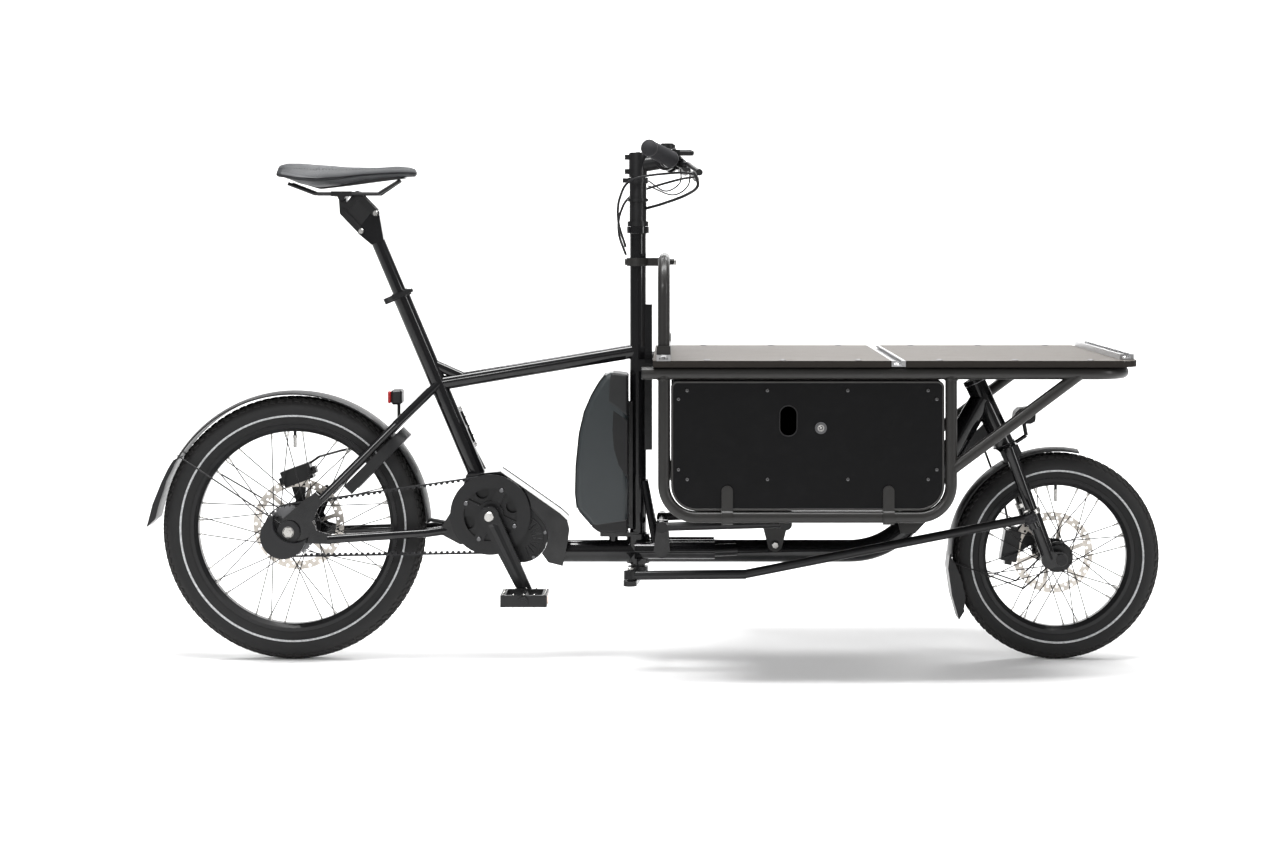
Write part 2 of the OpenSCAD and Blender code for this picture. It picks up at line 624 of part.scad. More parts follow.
module rear_axle() {
    color([0.6, 0.6, 0.6]) {
        y_cyl(rear_x, rear_r, -stay_y - 14, stay_y + 14, rear_axle_d / 2, 48);
        both_sides() y_cyl(rear_x, rear_r, stay_y + 3, stay_y + 11, 10, 6);
    }
    color([0.1, 0.1, 0.105]) difference() {
        union() {
            y_plate(-stay_y - 24, -stay_y - 4) difference() {
                union() {
                    translate([rear_x - 8, rear_r - 6]) circle(r = 44, $fn = 64);
                    translate([rear_x - 34, rear_r - 22]) square([34, 48]);
                }
                translate([rear_x + 12, rear_r + 20]) circle(r = 40, $fn = 64);
            }
            y_cyl(rear_x, rear_r, -stay_y - 11, -stay_y - 4, 22, 48);
        }
        y_cyl(rear_x, rear_r, -stay_y - 30, -stay_y, 10.2, 48);
    }
}

// Toothed belt: plain band on both wheels, teeth on the straight runs
belt_t = 2.4;
module drive_belt() color([0.02, 0.02, 0.022]) {
    a = xz(rear_ax);
    b = xz(bb);
    ra = sprocket_r + 0.3;
    rb = ring_r + 0.3;
    gap = norm(b - a);
    lean = asin((rb - ra) / gap);
    line = atan2(b[1] - a[1], b[0] - a[0]);
    run = gap * cos(lean);
    teeth = floor((run - 56) / belt_pitch);
    y_plate(belt_y - belt_w / 2, belt_y + belt_w / 2) difference() {
        belt_hull(a, b, ra + belt_t, rb + belt_t, line, lean);
        belt_hull(a, b, ra, rb, line, lean);
    }
    y_plate(belt_y - belt_w / 2, belt_y + belt_w / 2)
        for (s = [-1, 1]) {
            n = line + s * (90 + lean);
            start = a + ra * [cos(n), sin(n)];
            along = line + s * lean;
            for (i = [0:teeth])
                translate(start + (28 + i * belt_pitch) * [cos(along), sin(along)])
                    rotate(along - s * 90) translate([-0.3, 0])
                    polygon([[0, -3.2], [3.7, -2], [3.7, 2], [0, 3.2]]);
        }
}
module belt_hull(a, b, ra, rb, line, lean) {
    translate(a) circle(r = ra, $fn = 120);
    translate(b) circle(r = rb, $fn = 120);
    polygon([for (q = [[a, ra, 1], [b, rb, 1], [b, rb, -1], [a, ra, -1]])
        q[0] + q[1] * [cos(line + q[2] * (90 + lean)), sin(line + q[2] * (90 + lean))]]);
}
module toothed_disc(teeth, r) {
    difference() {
        circle(r = r, $fn = 120);
        for (i = [0:teeth - 1]) rotate(i * 360 / teeth) translate([r - 1.2, 0])
            polygon([[-1.8, -1.6], [4, -3], [4, 3], [-1.8, 1.6]]);
    }
}
module rear_sprocket() color([0.12, 0.12, 0.12]) {
    translate([rear_x, belt_y + belt_w / 2, rear_r]) rotate([90, 0, 0]) {
        linear_extrude(belt_w) difference() {
            toothed_disc(sprocket_teeth, sprocket_r);
            circle(d = rear_axle_d + 2 * run_gap, $fn = 48);
            for (i = [0:3]) rotate(i * 90 + 45) translate([sprocket_r * 0.62, 0]) circle(r = 8, $fn = 32);
        }
        translate([0, 0, -1.5]) linear_extrude(1.6) difference() {
            circle(r = sprocket_r - 3, $fn = 96);
            circle(d = rear_axle_d + 2 * run_gap, $fn = 48);
        }
    }
}

arm_y = 74;
module crank_arm(side) {
    tip = xz(bb) + side * xz(crank_end);
    y0 = side > 0 ? -arm_y - 15 : arm_y;
    y_plate(y0, y0 + 15) {
        translate(xz(bb)) circle(r = 19, $fn = 64);
        translate(tip) circle(r = 13.5, $fn = 48);
        v = tip - xz(bb);
        n = [-v[1], v[0]] / norm(v);
        polygon([xz(bb) + n * 18, tip + n * 13, tip - n * 13, xz(bb) - n * 18]);
    }
    y1 = side > 0 ? -arm_y - 110 : arm_y;
    y_cyl(tip[0], tip[1], y1, y1 + 110, pedal_axle_d / 2, 48);
}
module crankset() {
    color([0.09, 0.09, 0.092]) {
        y_cyl(bb[0], bb[2], -arm_y, arm_y, spindle_d / 2, 96);
        crank_arm(1);
        crank_arm(-1);
        y_cyl(bb[0], bb[2], -arm_y - 16.5, -arm_y - 15, 11, 48);
    }
    color([0.05, 0.05, 0.052]) translate([bb[0], belt_y + belt_w / 2, bb[2]]) rotate([90, 0, 0]) {
        linear_extrude(belt_w) difference() {
            toothed_disc(ring_teeth, ring_r);
            circle(r = ring_r - 14, $fn = 96);
        }
        translate([0, 0, 2]) linear_extrude(6) difference() {
            circle(r = ring_r - 10, $fn = 96);
            circle(d = spindle_d, $fn = 96);
            for (i = [0:3]) rotate(i * 90 + 20) translate([46, 0]) circle(r = 13, $fn = 48);
        }
        translate([0, 0, belt_w + 0.6]) linear_extrude(2) difference() {
            circle(r = ring_r + 4.5, $fn = 120);
            circle(r = ring_r - 22, $fn = 96);
        }
        translate([0, 0, 7]) linear_extrude(belt_w - 4) for (i = [0:3]) rotate(i * 90 + 65)
            translate([18, -9]) square([36, 18]);
        translate([0, 0, 7]) linear_extrude(belt_w - 3) difference() {
            circle(r = 26, $fn = 96);
            circle(d = spindle_d, $fn = 96);
        }
    }
}
pedal_w = 92;
pedal_l = 88;
module pedal(side) color([0.06, 0.06, 0.062]) {
    tip = bb + side * crank_end;
    y0 = side > 0 ? -arm_y - 17 - pedal_w : arm_y + 17;
    turn = side > 0 ? 0 : 67;
    translate(tip) rotate([0, turn, 0]) translate(-tip) difference() {
        union() {
            y_cyl(tip[0], tip[2], y0, y0 + pedal_w, 9, 48);
            box([tip[0] - pedal_l / 2, y0 + 4, tip[2] - 11], [tip[0] + pedal_l / 2, y0 + 12, tip[2] + 11]);
            box([tip[0] - pedal_l / 2, y0 + pedal_w - 12, tip[2] - 11],
                [tip[0] + pedal_l / 2, y0 + pedal_w - 4, tip[2] + 11]);
            for (s = [-1, 1]) box([tip[0] + s * (pedal_l / 2 - 5) - 5, y0 + 4, tip[2] - 11],
                [tip[0] + s * (pedal_l / 2 - 5) + 5, y0 + pedal_w - 4, tip[2] + 11]);
            box([tip[0] - pedal_l / 2, y0 + pedal_w / 2 - 4, tip[2] - 5],
                [tip[0] + pedal_l / 2, y0 + pedal_w / 2 + 4, tip[2] + 5]);
        }
        y_cyl(tip[0], tip[2], y0 - 1, y0 + pedal_w + 1, pedal_axle_d / 2 + run_gap, 48);
    }
}
module pedal_right() pedal(1);
module pedal_left() pedal(-1);

// ---- Seat ----

clamp_t = seat_tube_len - 8;
module seat_clamp() color([0.06, 0.06, 0.062]) difference() {
    union() {
        rod(seat_pt(clamp_t - 6), seat_pt(clamp_t + 6), seat_tube_d + 8, 64);
        translate(seat_pt(clamp_t)) rotate([0, seat_angle - 90, 0]) translate([-34, -9, -6]) cube([24, 18, 12]);
    }
    rod(seat_pt(clamp_t - 20), seat_pt(clamp_t + 20), seat_tube_d, 64);
}
lever_hub = seat_pt(clamp_t, -27);
module seat_lever() color([0.2, 0.2, 0.2]) translate(lever_hub) rotate([0, seat_angle - 90, 0]) {
    translate([0, -16, -5.5]) cylinder(r = 6, h = 11, $fn = 48);
    linear_extrude(height = 7, center = true) {
        bar_shape([0, -16], [14, -27], 4);
        bar_shape([14, -27], [52, -27], 4);
    }
}

post_head = seat_pt(616);
p_front = post_head + [12.6, 0, 18];
p_rear = post_head + [-15.5, 0, -17];
link_v = [-35.4, 0, 37];
pin_r = 3;
link_y = 13.8;
module seatpost() color([0.03, 0.03, 0.032]) difference() {
    union() {
        rod(seat_pt(seat_tube_len - 129), seat_pt(588), seatpost_d, 96);
        y_plate(-link_y + 0.3, link_y - 0.3) {
            bar_shape(xz(p_front), xz(p_rear), 7.5);
            polygon([xz(p_front) + [7.2, -2], xz(p_rear) + [-6, -5], xz(seat_pt(574, -13)),
                xz(seat_pt(574, 13))]);
        }
    }
    for (p = [p_front, p_rear]) y_cyl(p[0], p[2], -20, 20, pin_r + run_gap, 48);
}
module link(p, thick) {
    q = p + link_v;
    both_sides() y_plate(-link_y - 4, -link_y) bar_shape(xz(p), xz(q), thick);
    for (c = [p, q]) y_cyl(c[0], c[2], -link_y - 4.4, link_y + 4.4, pin_r, 48);
}
module link_front() color([0.05, 0.05, 0.052]) link(p_front, 7);
module link_rear() color([0.05, 0.05, 0.052]) link(p_rear, 6.5);
rail_drop = 912;
module saddle_head() color([0.05, 0.05, 0.052]) {
    q1 = p_front + link_v;
    q2 = p_rear + link_v;
    seat = q2 + [-2, 0, 29];
    difference() {
        union() {
            y_plate(-link_y + 0.3, link_y - 0.3) {
                bar_shape(xz(q1), xz(q2), 7);
                bar_shape(xz(q2), xz(seat) + [0, 2], 7);
            }
            rod(seat + [0, -26, 2], seat + [0, 26, 2], 15);
            both_sides() box(seat + [-20, -27, 2], seat + [20, -17, 12]);
        }
        for (p = [q1, q2]) y_cyl(p[0], p[2], -20, 20, pin_r + run_gap, 48);
        both_sides() rod(seat + [-60, -22, 7], seat + [60, -22, 7], 7, 32);
    }
    both_sides() bent_bar([seat + [-104, -26, 27], seat + [-52, -22, 7], seat + [72, -22, 7],
        seat + [112, -10, 33]], 7, 24);
}
module saddle() color([0.08, 0.085, 0.09]) {
    s = p_rear + link_v + [-2, 0, 29];
    intersection() {
        y_plate(-100, 100) polygon([[s[0] - 126, s[2] + 50], [s[0] - 122, s[2] + 66], [s[0] - 80, s[2] + 67],
            [s[0] + 10, s[2] + 61], [s[0] + 110, s[2] + 62], [s[0] + 139, s[2] + 58], [s[0] + 145, s[2] + 50],
            [s[0] + 143, s[2] + 38], [s[0] + 110, s[2] + 37.5], [s[0] + 50, s[2] + 36],
            [s[0] + 10, s[2] + 32], [s[0] - 60, s[2] + 31.5], [s[0] - 112, s[2] + 37]]);
        translate([s[0], 0, s[2]]) linear_extrude(100) polygon(concat(
            [[145, -14], [145, 14], [135, 20], [70, 24], [20, 34], [-30, 58], [-70, 74], [-100, 77], [-122, 66]],
            [[-127, 40], [-127, -40]],
            [[-122, -66], [-100, -77], [-70, -74], [-30, -58], [20, -34], [70, -24], [135, -20]]));
    }
}

// ---- Centre stand ----

stand_x = column_x + 47;
stand_z = main_tube_z + 57;
module kickstand() color([0.08, 0.08, 0.082]) {
    y_cyl(stand_x, stand_z, -80, 80, 6, 48);
    both_sides() {
        rod([stand_x, -76, stand_z], [stand_x + 236, -102, stand_z + 10], 17);
        y_cyl(stand_x, stand_z, -88, -66, 11, 48);
        y_cyl(stand_x + 238, stand_z + 10, -115, -95, 12, 48);
    }
}

// ---- Steering ----

shaft_foot = arm_end[2] - 20;
module steering_shaft() color([0.05, 0.05, 0.052]) {
    translate([column_x, 0, shaft_foot]) cylinder(d = shaft_d, h = stem_top - 6 - shaft_foot, $fn = 96);
    translate([0, 0, shaft_foot]) linear_extrude(10)
        bar_shape([column_x, 0], [arm_end[0], arm_end[1]], 13);
    translate([column_x, 0, shaft_foot]) cylinder(d = 40, h = 18, $fn = 64);
    rod(arm_end - rod_axis * 16, arm_end + rod_axis * 14, 8);
}
module stem() color([0.045, 0.045, 0.048]) difference() {
    union() {
        translate([column_x, 0, column_top + 0.3]) cylinder(d = 42, h = 10, $fn = 64);
        translate([column_x, 0, column_top]) translate([0, 0, 0.3]) cylinder(d = 34, h = 96, $fn = 64);
        translate([column_x, 0, column_top + 49]) cylinder(d = 41, h = 6, $fn = 64);
        translate([column_x, 0, bar_z - 45]) cylinder(d = 40, h = 11, $fn = 64);
        box([column_x - 30, -10, bar_z - 44], [column_x - 12, 10, bar_z - 35]);
        translate([column_x, 0, bar_z - 33]) cylinder(d = 36, h = 47, $fn = 64);
        for (z = [bar_z + 6, bar_z - 22]) {
            box([column_x - 26, -11, z - 5], [column_x, 11, z + 5]);
            y_cyl(column_x - 22, z, -12.5, 12.5, 4, 24);
        }
        rod([column_x, 0, bar_z - 10], [bar_x, 0, bar_z - 1], 30);
        rod([bar_x, -24, bar_z], [bar_x, 24, bar_z], 40);
    }
    translate([column_x, 0, column_top - 5]) cylinder(d = shaft_d, h = stem_top - column_top - 1, $fn = 96);
    rod([bar_x, -30, bar_z], [bar_x, 30, bar_z], bar_d + 4, 64);
}
bar_bend = [bar_x + 12, 200, bar_z - 4];
bar_end = [bar_x - 29, bar_w / 2 - 6, bar_z + 14];
grip_dir = (bar_end - bar_bend) / norm(bar_end - bar_bend);
bar_mid = [bar_x, 60, bar_z];
bar_dir = (bar_bend - bar_mid) / norm(bar_bend - bar_mid);
module handlebar() color([0.05, 0.05, 0.052]) {
    rod([bar_x, -40, bar_z], [bar_x, 40, bar_z], bar_d + 4, 64);
    both_sides() bent_bar([[bar_x, 0, bar_z], bar_mid, bar_bend, bar_end], bar_d);
}
grip_start = bar_bend + grip_dir * 4;
module grips() color([0.06, 0.06, 0.062]) both_sides() difference() {
    union() {
        rod(grip_start, bar_end, 30);
        rod(bar_end - grip_dir * 4, bar_end + grip_dir * 6, 31);
    }
    rod(bar_bend - grip_dir * 10, bar_end, bar_d, 48);
}
perch = bar_bend - bar_dir * 22;
lever_pivot = perch + [22, -4, -8];
module bar_controls() color([0.06, 0.06, 0.062]) both_sides() difference() {
    union() {
        rod(perch - bar_dir * 10, perch + bar_dir * 10, bar_d + 10);
        difference() {
            rod(perch + [14, -44, -2], perch + [30, 8, -14], 19);
            box(lever_pivot + [-20, -14, -6.8], lever_pivot + [40, 40, 6.8]);
        }
        box(perch + [8, -22, -12], perch + [20, 6, 6]);
        box(perch + [-12, -64, 4], perch + [18, -34, 20]);
    }
    rod(perch - bar_dir * 90, perch + bar_dir * 40, bar_d, 48);
    box(lever_pivot + [-10, -14, -6.8], lever_pivot + [40, 40, 6.8]);
    translate(lever_pivot - [0, 0, 30]) cylinder(r = 3 + run_gap, h = 60, $fn = 48);
}
module brake_lever_left() color([0.03, 0.03, 0.032]) {
    translate(lever_pivot - [0, 0, 10]) cylinder(r = 3, h = 20, $fn = 48);
    tip = [bar_end[0] + 92, bar_w / 2 - 28, bar_z - 30];
    translate(lever_pivot - [0, 0, 5]) cylinder(r = 8, h = 10, $fn = 48);
    reach = tip - lever_pivot - [12, 20, -2];
    bent_line([lever_pivot, lever_pivot + [12, 20, -2], tip], 9.8);
    rod(tip - reach / norm(reach) * 9, tip + reach / norm(reach) * 3, 12.5);
}
module brake_lever_right() mirror([0, 1, 0]) brake_lever_left();

bell_dir = [bar_dir[0], -bar_dir[1], bar_dir[2]];
bell_pos = [bar_mid[0], -bar_mid[1], bar_mid[2]] + bell_dir * 44;
module bell() color([0.04, 0.04, 0.042]) difference() {
    union() {
        rod(bell_pos - bell_dir * 6, bell_pos + bell_dir * 6, bar_d + 9);
        translate(bell_pos + [0, 0, 14]) cylinder(d = 14, h = 8, $fn = 48);
        translate(bell_pos + [0, 0, 20]) cylinder(d = 30, h = 9, $fn = 64);
        translate(bell_pos + [0, 0, 29]) cylinder(d = 24, h = 2, $fn = 64);
    }
    rod(bell_pos - bell_dir * 30, bell_pos + bell_dir * 30, bar_d, 48);
    difference() {
        translate(bell_pos + [-13, 0, 12.7]) translate([-8, -8, 0]) cube([16, 16, 7]);
        translate(bell_pos + [-11, 0, 10]) cylinder(r = 1.5, h = 12, $fn = 32);
    }
}
module bell_lever() color([0.1, 0.1, 0.1]) translate(bell_pos + [-11, 0, 13.2]) difference() {
    union() {
        cylinder(r = 4.5, h = 5.6, $fn = 32);
        translate([0, 0, 1.2]) rotate([0, 0, 200]) translate([2, -2.5, 0]) cube([24, 5, 3]);
    }
    translate([0, 0, -1]) cylinder(r = 1.5 + run_gap, h = 8, $fn = 32);
}

module bar_cables() color([0.02, 0.02, 0.022]) {
    entry = [column_x + 17, 0, column_top + 36];
    bent_bar([[perch[0] + 44, 30 - perch[1], perch[2] - 22], [bar_x + 62, -130, bar_z - 52],
        [bar_x + 26, -70, bar_z - 72], [bar_x - 10, -26, bar_z - 88], entry], 6, 16);
    bent_bar([[bar_x + 48, -40, bar_z - 14], [bar_x + 44, -30, bar_z - 50],
        [bar_x + 14, -16, bar_z - 68], [column_x + 20, -4, bar_z - 50]], 3, 12);
    bent_bar([[bar_x + 30, 40, bar_z - 14], [bar_x + 28, 30, bar_z - 44],
        [bar_x + 0, 16, bar_z - 60], [column_x + 20, 5, bar_z - 40]], 3, 12);
}
module column_cables() color([0.02, 0.02, 0.022])
    for (side = [-1, 1]) bent_line([[bar_x + 62, side * 96, bar_z - 30],
        [bar_x + 20, side * 66, bar_z - 32 - 6 * side], [column_x - 9, side * 44, bar_z - 52 - 14 * side],
        [column_x - 35, side * 30, bar_z - 88 - 14 * side], [column_x - 38, side * 22, bar_z - 132 - 12 * side],
        [column_x - 24, side * 14, bar_z - 178 - 8 * side]], 5, 24);

module tie_rod() color([0.03, 0.03, 0.032]) difference() {
    bend = [deck_x0 + 172, arm_end[1], arm_end[2] + 2];
    union() {
        bent_line([arm_end, bend, rod_end], rod_d);
        rod(arm_end - rod_axis * 7, arm_end + rod_axis * 9, 24);
        rod(rod_end - fork_dir * 7, rod_end + fork_dir * 7, 25);
    }
    rod(arm_end - rod_axis * 30, arm_end + rod_axis * 30, 8 + 2 * run_gap);
    rod(rod_end - fork_dir * 30, rod_end + fork_dir * 30, 17);
}

// ---- Fork ----

leg_low = front_ax + [-22, -leg_y, 0.5];
leg_top = fork_pt(crown_t0 + 12, -leg_y);
ring_at = leg_low + (leg_top - leg_low) * 0.43;
module fork() {
    color([0.03, 0.03, 0.032]) difference() {
        union() {
            rod(fork_pt(crown_t0), fork_pt(head_t1 + 6), shaft_d, 96);
            rod(fork_pt(crown_t1), fork_pt(crown_t1 + 1.5), head_d, 64);
            rod(fork_pt(head_t1 + 0.5), fork_pt(head_t1 + 7), head_d + 2, 64);
            translate(fork_pt(crown_t0)) rotate([0, head_angle - 90, 0])
                translate([-19, -leg_y - 3, 0]) cube([38, 2 * leg_y + 6, 24]);
            both_sides() {
                rod(leg_low, leg_top + (leg_top - leg_low) * 0.06, 24, 64);
                rod(leg_low, ring_at, 28, 64);
                y_cyl(leg_low[0], leg_low[2], -leg_y - 12.5, -leg_y + 9.5, 17);
                y_plate(-leg_y - 3, -front_half_w - 0.5) bar_shape(xz(leg_low), xz(front_ax), 14.5);
            }
            rod(fork_pt(crown_t0 + 16), fork_pt(crown_t0 + 16) + [40, 0, 26], 8);
        }
        y_cyl(front_x, front_r, -80, 80, front_axle_d / 2, 96);
        y_cyl(front_x, front_r, -leg_y - 30, -leg_y - 3, 11.4, 48);
    }
    color([0.6, 0.6, 0.6]) {
        both_sides() rod(ring_at, ring_at + (leg_top - leg_low) * 0.045, 32, 64);
        rod(ring_at + (leg_top - leg_low) * 0.02, rod_end - fork_dir * 16, 15);
        rod(rod_end - fork_dir * 22, rod_end - fork_dir * 9, 20);
        rod(rod_end - fork_dir * 16, rod_end + fork_dir * 12, 8);
        rod(rod_end + fork_dir * 9, rod_end + fork_dir * 13, 14);
    }
}
module front_axle() color([0.15, 0.15, 0.15]) {
    y_cyl(front_x, front_r, -leg_y - 6, leg_y + 4, front_axle_d / 2, 96);
    y_cyl(front_x, front_r, -leg_y - 9, -leg_y - 3, 11, 48);
}
module front_mudguard() color([0.04, 0.04, 0.042]) {
    half = front_tyre_w / 2 + 4;
    g = front_guard_r;
    y_spin(front_ax, 101.5, 78.5) guard_section(g, half);
    y_plate(-half + 0.5, half - 0.5) polygon([for (p = [[178.5, g - 1.5], [186, g + 2.5], [200, g + 7],
        [212.4, g + 15.5], [210, g - 3], [198, g - 4.5], [186, g - 5], [178.5, g - 5.5]])
        [front_x + p[1] * cos(p[0]), front_r + p[1] * sin(p[0])]]);
    both_sides() {
        y_plate(-half + 1, -half + 3) polygon([for (p = [[181, g - 2], [192, g - 1], [206, g - 1],
            [209, g - 4], [204, g - 16], [192, g - 20], [182, g - 10]])
            [front_x + p[1] * cos(p[0]), front_r + p[1] * sin(p[0])]]);
        rod([front_x - g + 8, -half + 2, front_r - 10], [front_x - 70, -leg_y + 12, front_r - 58], 3, 24);
        rod([front_x - 72, -leg_y + 12, front_r - 59], [front_x - 16, -leg_y + 5, front_r - 8], 3.4, 24);
    }
    rod(fork_pt(crown_t0 + 4), fork_pt(g - 3), 12);
}
module headlight() {
    base = fork_pt(crown_t0 + 16) + [40, 0, 26];
    color([0.04, 0.04, 0.042]) {
        rod(base, base + [-6, 0, 32], 8);
        y_plate(-20, 20) polygon([for (p = [[-26, 30], [-24, 46], [-16, 54], [4, 56], [14, 52],
            [14, 28], [6, 24], [-16, 24]]) [base[0] + p[0], base[2] + p[1]]]);
        rod(base + [14, 0, 40], base + [17, 0, 40], 26);
    }
}
front_disc_y = 38;
module front_brake() color([0.03, 0.03, 0.032]) {
    p = front_ax + [-front_disc_d / 2 - 4, front_disc_y, 14];
    caliper(p, -80);
    y_plate(front_disc_y + 7, front_disc_y + 15) polygon([[p[0] - 10, p[2] + 20], [p[0] + 30, p[2] + 44],
        [leg_low[0] - 4, leg_low[2] + 50], [leg_low[0] - 8, leg_low[2] + 20], [p[0] + 12, p[2] - 20]]);
    bent_line([p + [0, 10, 34], p + [-8, 20, 80], fork_pt(crown_t0 + 10, 34) + [-40, 0, 0],
        fork_pt(crown_t0 + 24, 28) + [-28, 0, 4]], 5, 12);
}

// ---- Wheels ----

module tyre(ax, r, w, bead) {
    bead_r = bead / 2;
    y_spin(ax, fn = 180) difference() {
        union() {
            translate([r - w / 2, 0]) circle(d = w, $fn = 96);
            polygon([[bead_r, -w * 0.26], [r - w * 0.62, -w * 0.485], [r - w * 0.62, w * 0.485],
                [bead_r, w * 0.26]]);
        }
        translate([bead_r - 100, -w]) square([100, 2 * w]);
    }
}
module rim(ax, bead, w) {
    bead_r = bead / 2;
    y_spin(ax, fn = 180) polygon([[bead_r, -w / 2], [bead_r, w / 2], [bead_r - 7, w / 2],
        [bead_r - 14.5, w / 2 - 8], [bead_r - 14.5, -w / 2 + 8], [bead_r - 7, -w / 2]]);
    rod(ax + [0, 0, bead_r - 10], ax + [0, 0, bead_r - 46], 6, 24);
}
// Crossed spokes: alternately from the left and the right flange, and from its outer and inner face
module spokes(ax, n, hub_r, flange_y, rim_r, cross) {
    for (i = [0:n - 1]) {
        side = i % 2 == 0 ? 1 : -1;
        lead = floor(i / 2) % 2 == 0 ? 1 : -1;
        hub_a = i * 360 / n;
        rim_a = hub_a + lead * cross;
        rod(ax + [hub_r * cos(hub_a), side * (flange_y + 2.7 * lead), hub_r * sin(hub_a)],
            ax + [rim_r * cos(rim_a), side * (4 + 1.5 * lead), rim_r * sin(rim_a)], 2, 14);
    }
}
module front_tyre() color([0.05, 0.05, 0.05]) tyre(front_ax, front_r, front_tyre_w, front_bead_d);
module front_rim() color([0.06, 0.06, 0.06]) rim(front_ax, front_bead_d, 30);
front_flange_y = 24;
module front_hub() color([0.03, 0.03, 0.03]) difference() {
    union() {
        y_cyl(front_x, front_r, -36, 30, 24);
        both_sides() y_cyl(front_x, front_r, front_flange_y - 1.5, front_flange_y + 1.5, 30);
        y_cyl(front_x, front_r, -front_half_w + 0.5, front_half_w - 0.5, 13);
        spokes(front_ax, 32, 26, front_flange_y, front_bead_d / 2 - 14, 52);
    }
    y_cyl(front_x, front_r, -70, 70, front_axle_d / 2 + run_gap, 96);
}
module brake_disc(ax, y, d, bore) {
    r = d / 2;
    translate([ax[0], y + disc_t / 2, ax[2]]) rotate([90, 0, 0]) {
        linear_extrude(disc_t) difference() {
            circle(r = r, $fn = 120);
            circle(r = r - 16, $fn = 96);
            for (i = [0:23]) {
                rotate(i * 15) translate([r - 5, 0]) circle(d = 6, $fn = 20);
                rotate(i * 15 + 7.5) translate([r - 11.5, 0]) circle(d = 5, $fn = 20);
            }
        }
        linear_extrude(disc_t) difference() {
            union() {
                circle(r = bore + 8, $fn = 64);
                for (i = [0:5]) rotate(i * 60) bar_shape([bore + 4, 0], [r - 15, 18], 4);
            }
            circle(r = bore, $fn = 64);
        }
    }
}
module front_disc() color([0.7, 0.68, 0.65]) brake_disc(front_ax, front_disc_y, front_disc_d, 13);
module rear_tyre() color([0.05, 0.05, 0.05]) tyre(rear_ax, rear_r, rear_tyre_w, rear_bead_d);
module rear_rim() color([0.06, 0.06, 0.06]) rim(rear_ax, rear_bead_d, 32);
rear_flange_y = 27;
module rear_hub() color([0.03, 0.03, 0.03]) difference() {
    union() {
        y_cyl(rear_x, rear_r, -30, 36, 36);
        both_sides() y_cyl(rear_x, rear_r, rear_flange_y - 1.5, rear_flange_y + 1.5, 46);
        y_cyl(rear_x, rear_r, -41, rear_half_w - 1, 16);
        spokes(rear_ax, 36, 43, rear_flange_y, rear_bead_d / 2 - 14, 46);
    }
    y_cyl(rear_x, rear_r, -80, 80, rear_axle_d / 2 + run_gap, 96);
}
module rear_disc() color([0.7, 0.68, 0.65]) brake_disc(rear_ax, rear_disc_y, rear_disc_d, 16);

rear_frame();
main_tube();
column_tube();
deck_rail();
side_frames();
deck_boards();
lashing_tracks();
hoop();
box_shell();
motor_housing();
battery_case();
rear_mudguard();
rear_light();
ring_lock();
rear_brake();
rear_axle();
drive_belt();
seat_clamp();
seat_lever();
kickstand();
door_right();
door_left();
door_hardware_right();
door_hardware_left();
cam_lock_right();
cam_lock_left();
steering_shaft();
stem();
handlebar();
grips();
bar_controls();
bell();
bell_lever();
bar_cables();
column_cables();
brake_lever_right();
brake_lever_left();
tie_rod();
fork();
front_axle();
front_mudguard();
headlight();
front_brake();
front_tyre();
front_rim();
front_hub();
front_disc();
rear_tyre();
rear_rim();
rear_hub();
rear_disc();
rear_sprocket();
crankset();
pedal_right();
pedal_left();
seatpost();
link_front();
link_rear();
saddle_head();
saddle();
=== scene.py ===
from math import cos, sin, pi, radians

import bmesh
import bpy
from mathutils import Matrix, Vector


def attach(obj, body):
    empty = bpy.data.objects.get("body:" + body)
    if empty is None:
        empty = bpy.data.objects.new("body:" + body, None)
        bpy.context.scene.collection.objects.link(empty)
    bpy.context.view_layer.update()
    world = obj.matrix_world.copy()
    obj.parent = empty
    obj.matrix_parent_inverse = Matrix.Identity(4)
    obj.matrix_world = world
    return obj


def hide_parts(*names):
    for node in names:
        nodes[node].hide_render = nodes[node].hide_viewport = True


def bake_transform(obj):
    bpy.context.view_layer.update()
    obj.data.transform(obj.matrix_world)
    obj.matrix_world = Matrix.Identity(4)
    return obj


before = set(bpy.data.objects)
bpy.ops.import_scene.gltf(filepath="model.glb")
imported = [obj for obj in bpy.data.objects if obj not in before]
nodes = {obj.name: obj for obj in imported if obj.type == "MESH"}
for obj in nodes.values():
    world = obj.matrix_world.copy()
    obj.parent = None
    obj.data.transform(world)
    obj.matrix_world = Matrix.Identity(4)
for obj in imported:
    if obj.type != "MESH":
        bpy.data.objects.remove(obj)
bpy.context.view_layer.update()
print("frame loaded:", len(nodes), "nodes")

fullTurn = 2 * pi


# A socket that takes part in plain arithmetic; each step adds a Math node
class Link:
    def __init__(self, tree, socket):
        self.tree, self.socket = tree, socket

    def maths(self, operation, first, second=None):
        values = {0: first} if second is None else {0: first, 1: second}
        return self.tree.node("ShaderNodeMath", {"operation": operation}, values).out(0)

    def __add__(self, other): return self.maths("ADD", self, other)
    def __radd__(self, other): return self.maths("ADD", other, self)
    def __sub__(self, other): return self.maths("SUBTRACT", self, other)
    def __rsub__(self, other): return self.maths("SUBTRACT", other, self)
    def __mul__(self, other): return self.maths("MULTIPLY", self, other)
    def __rmul__(self, other): return self.maths("MULTIPLY", other, self)
    def __truediv__(self, other): return self.maths("DIVIDE", self, other)
    def __gt__(self, other): return self.maths("GREATER_THAN", self, other)
    def sine(self): return self.maths("SINE", self)
    def root(self): return self.maths("SQRT", self)


class Node:
    def __init__(self, tree, made):
        self.tree, self.made = tree, made

    def out(self, key=0):
        return Link(self.tree, self.made.outputs[key])


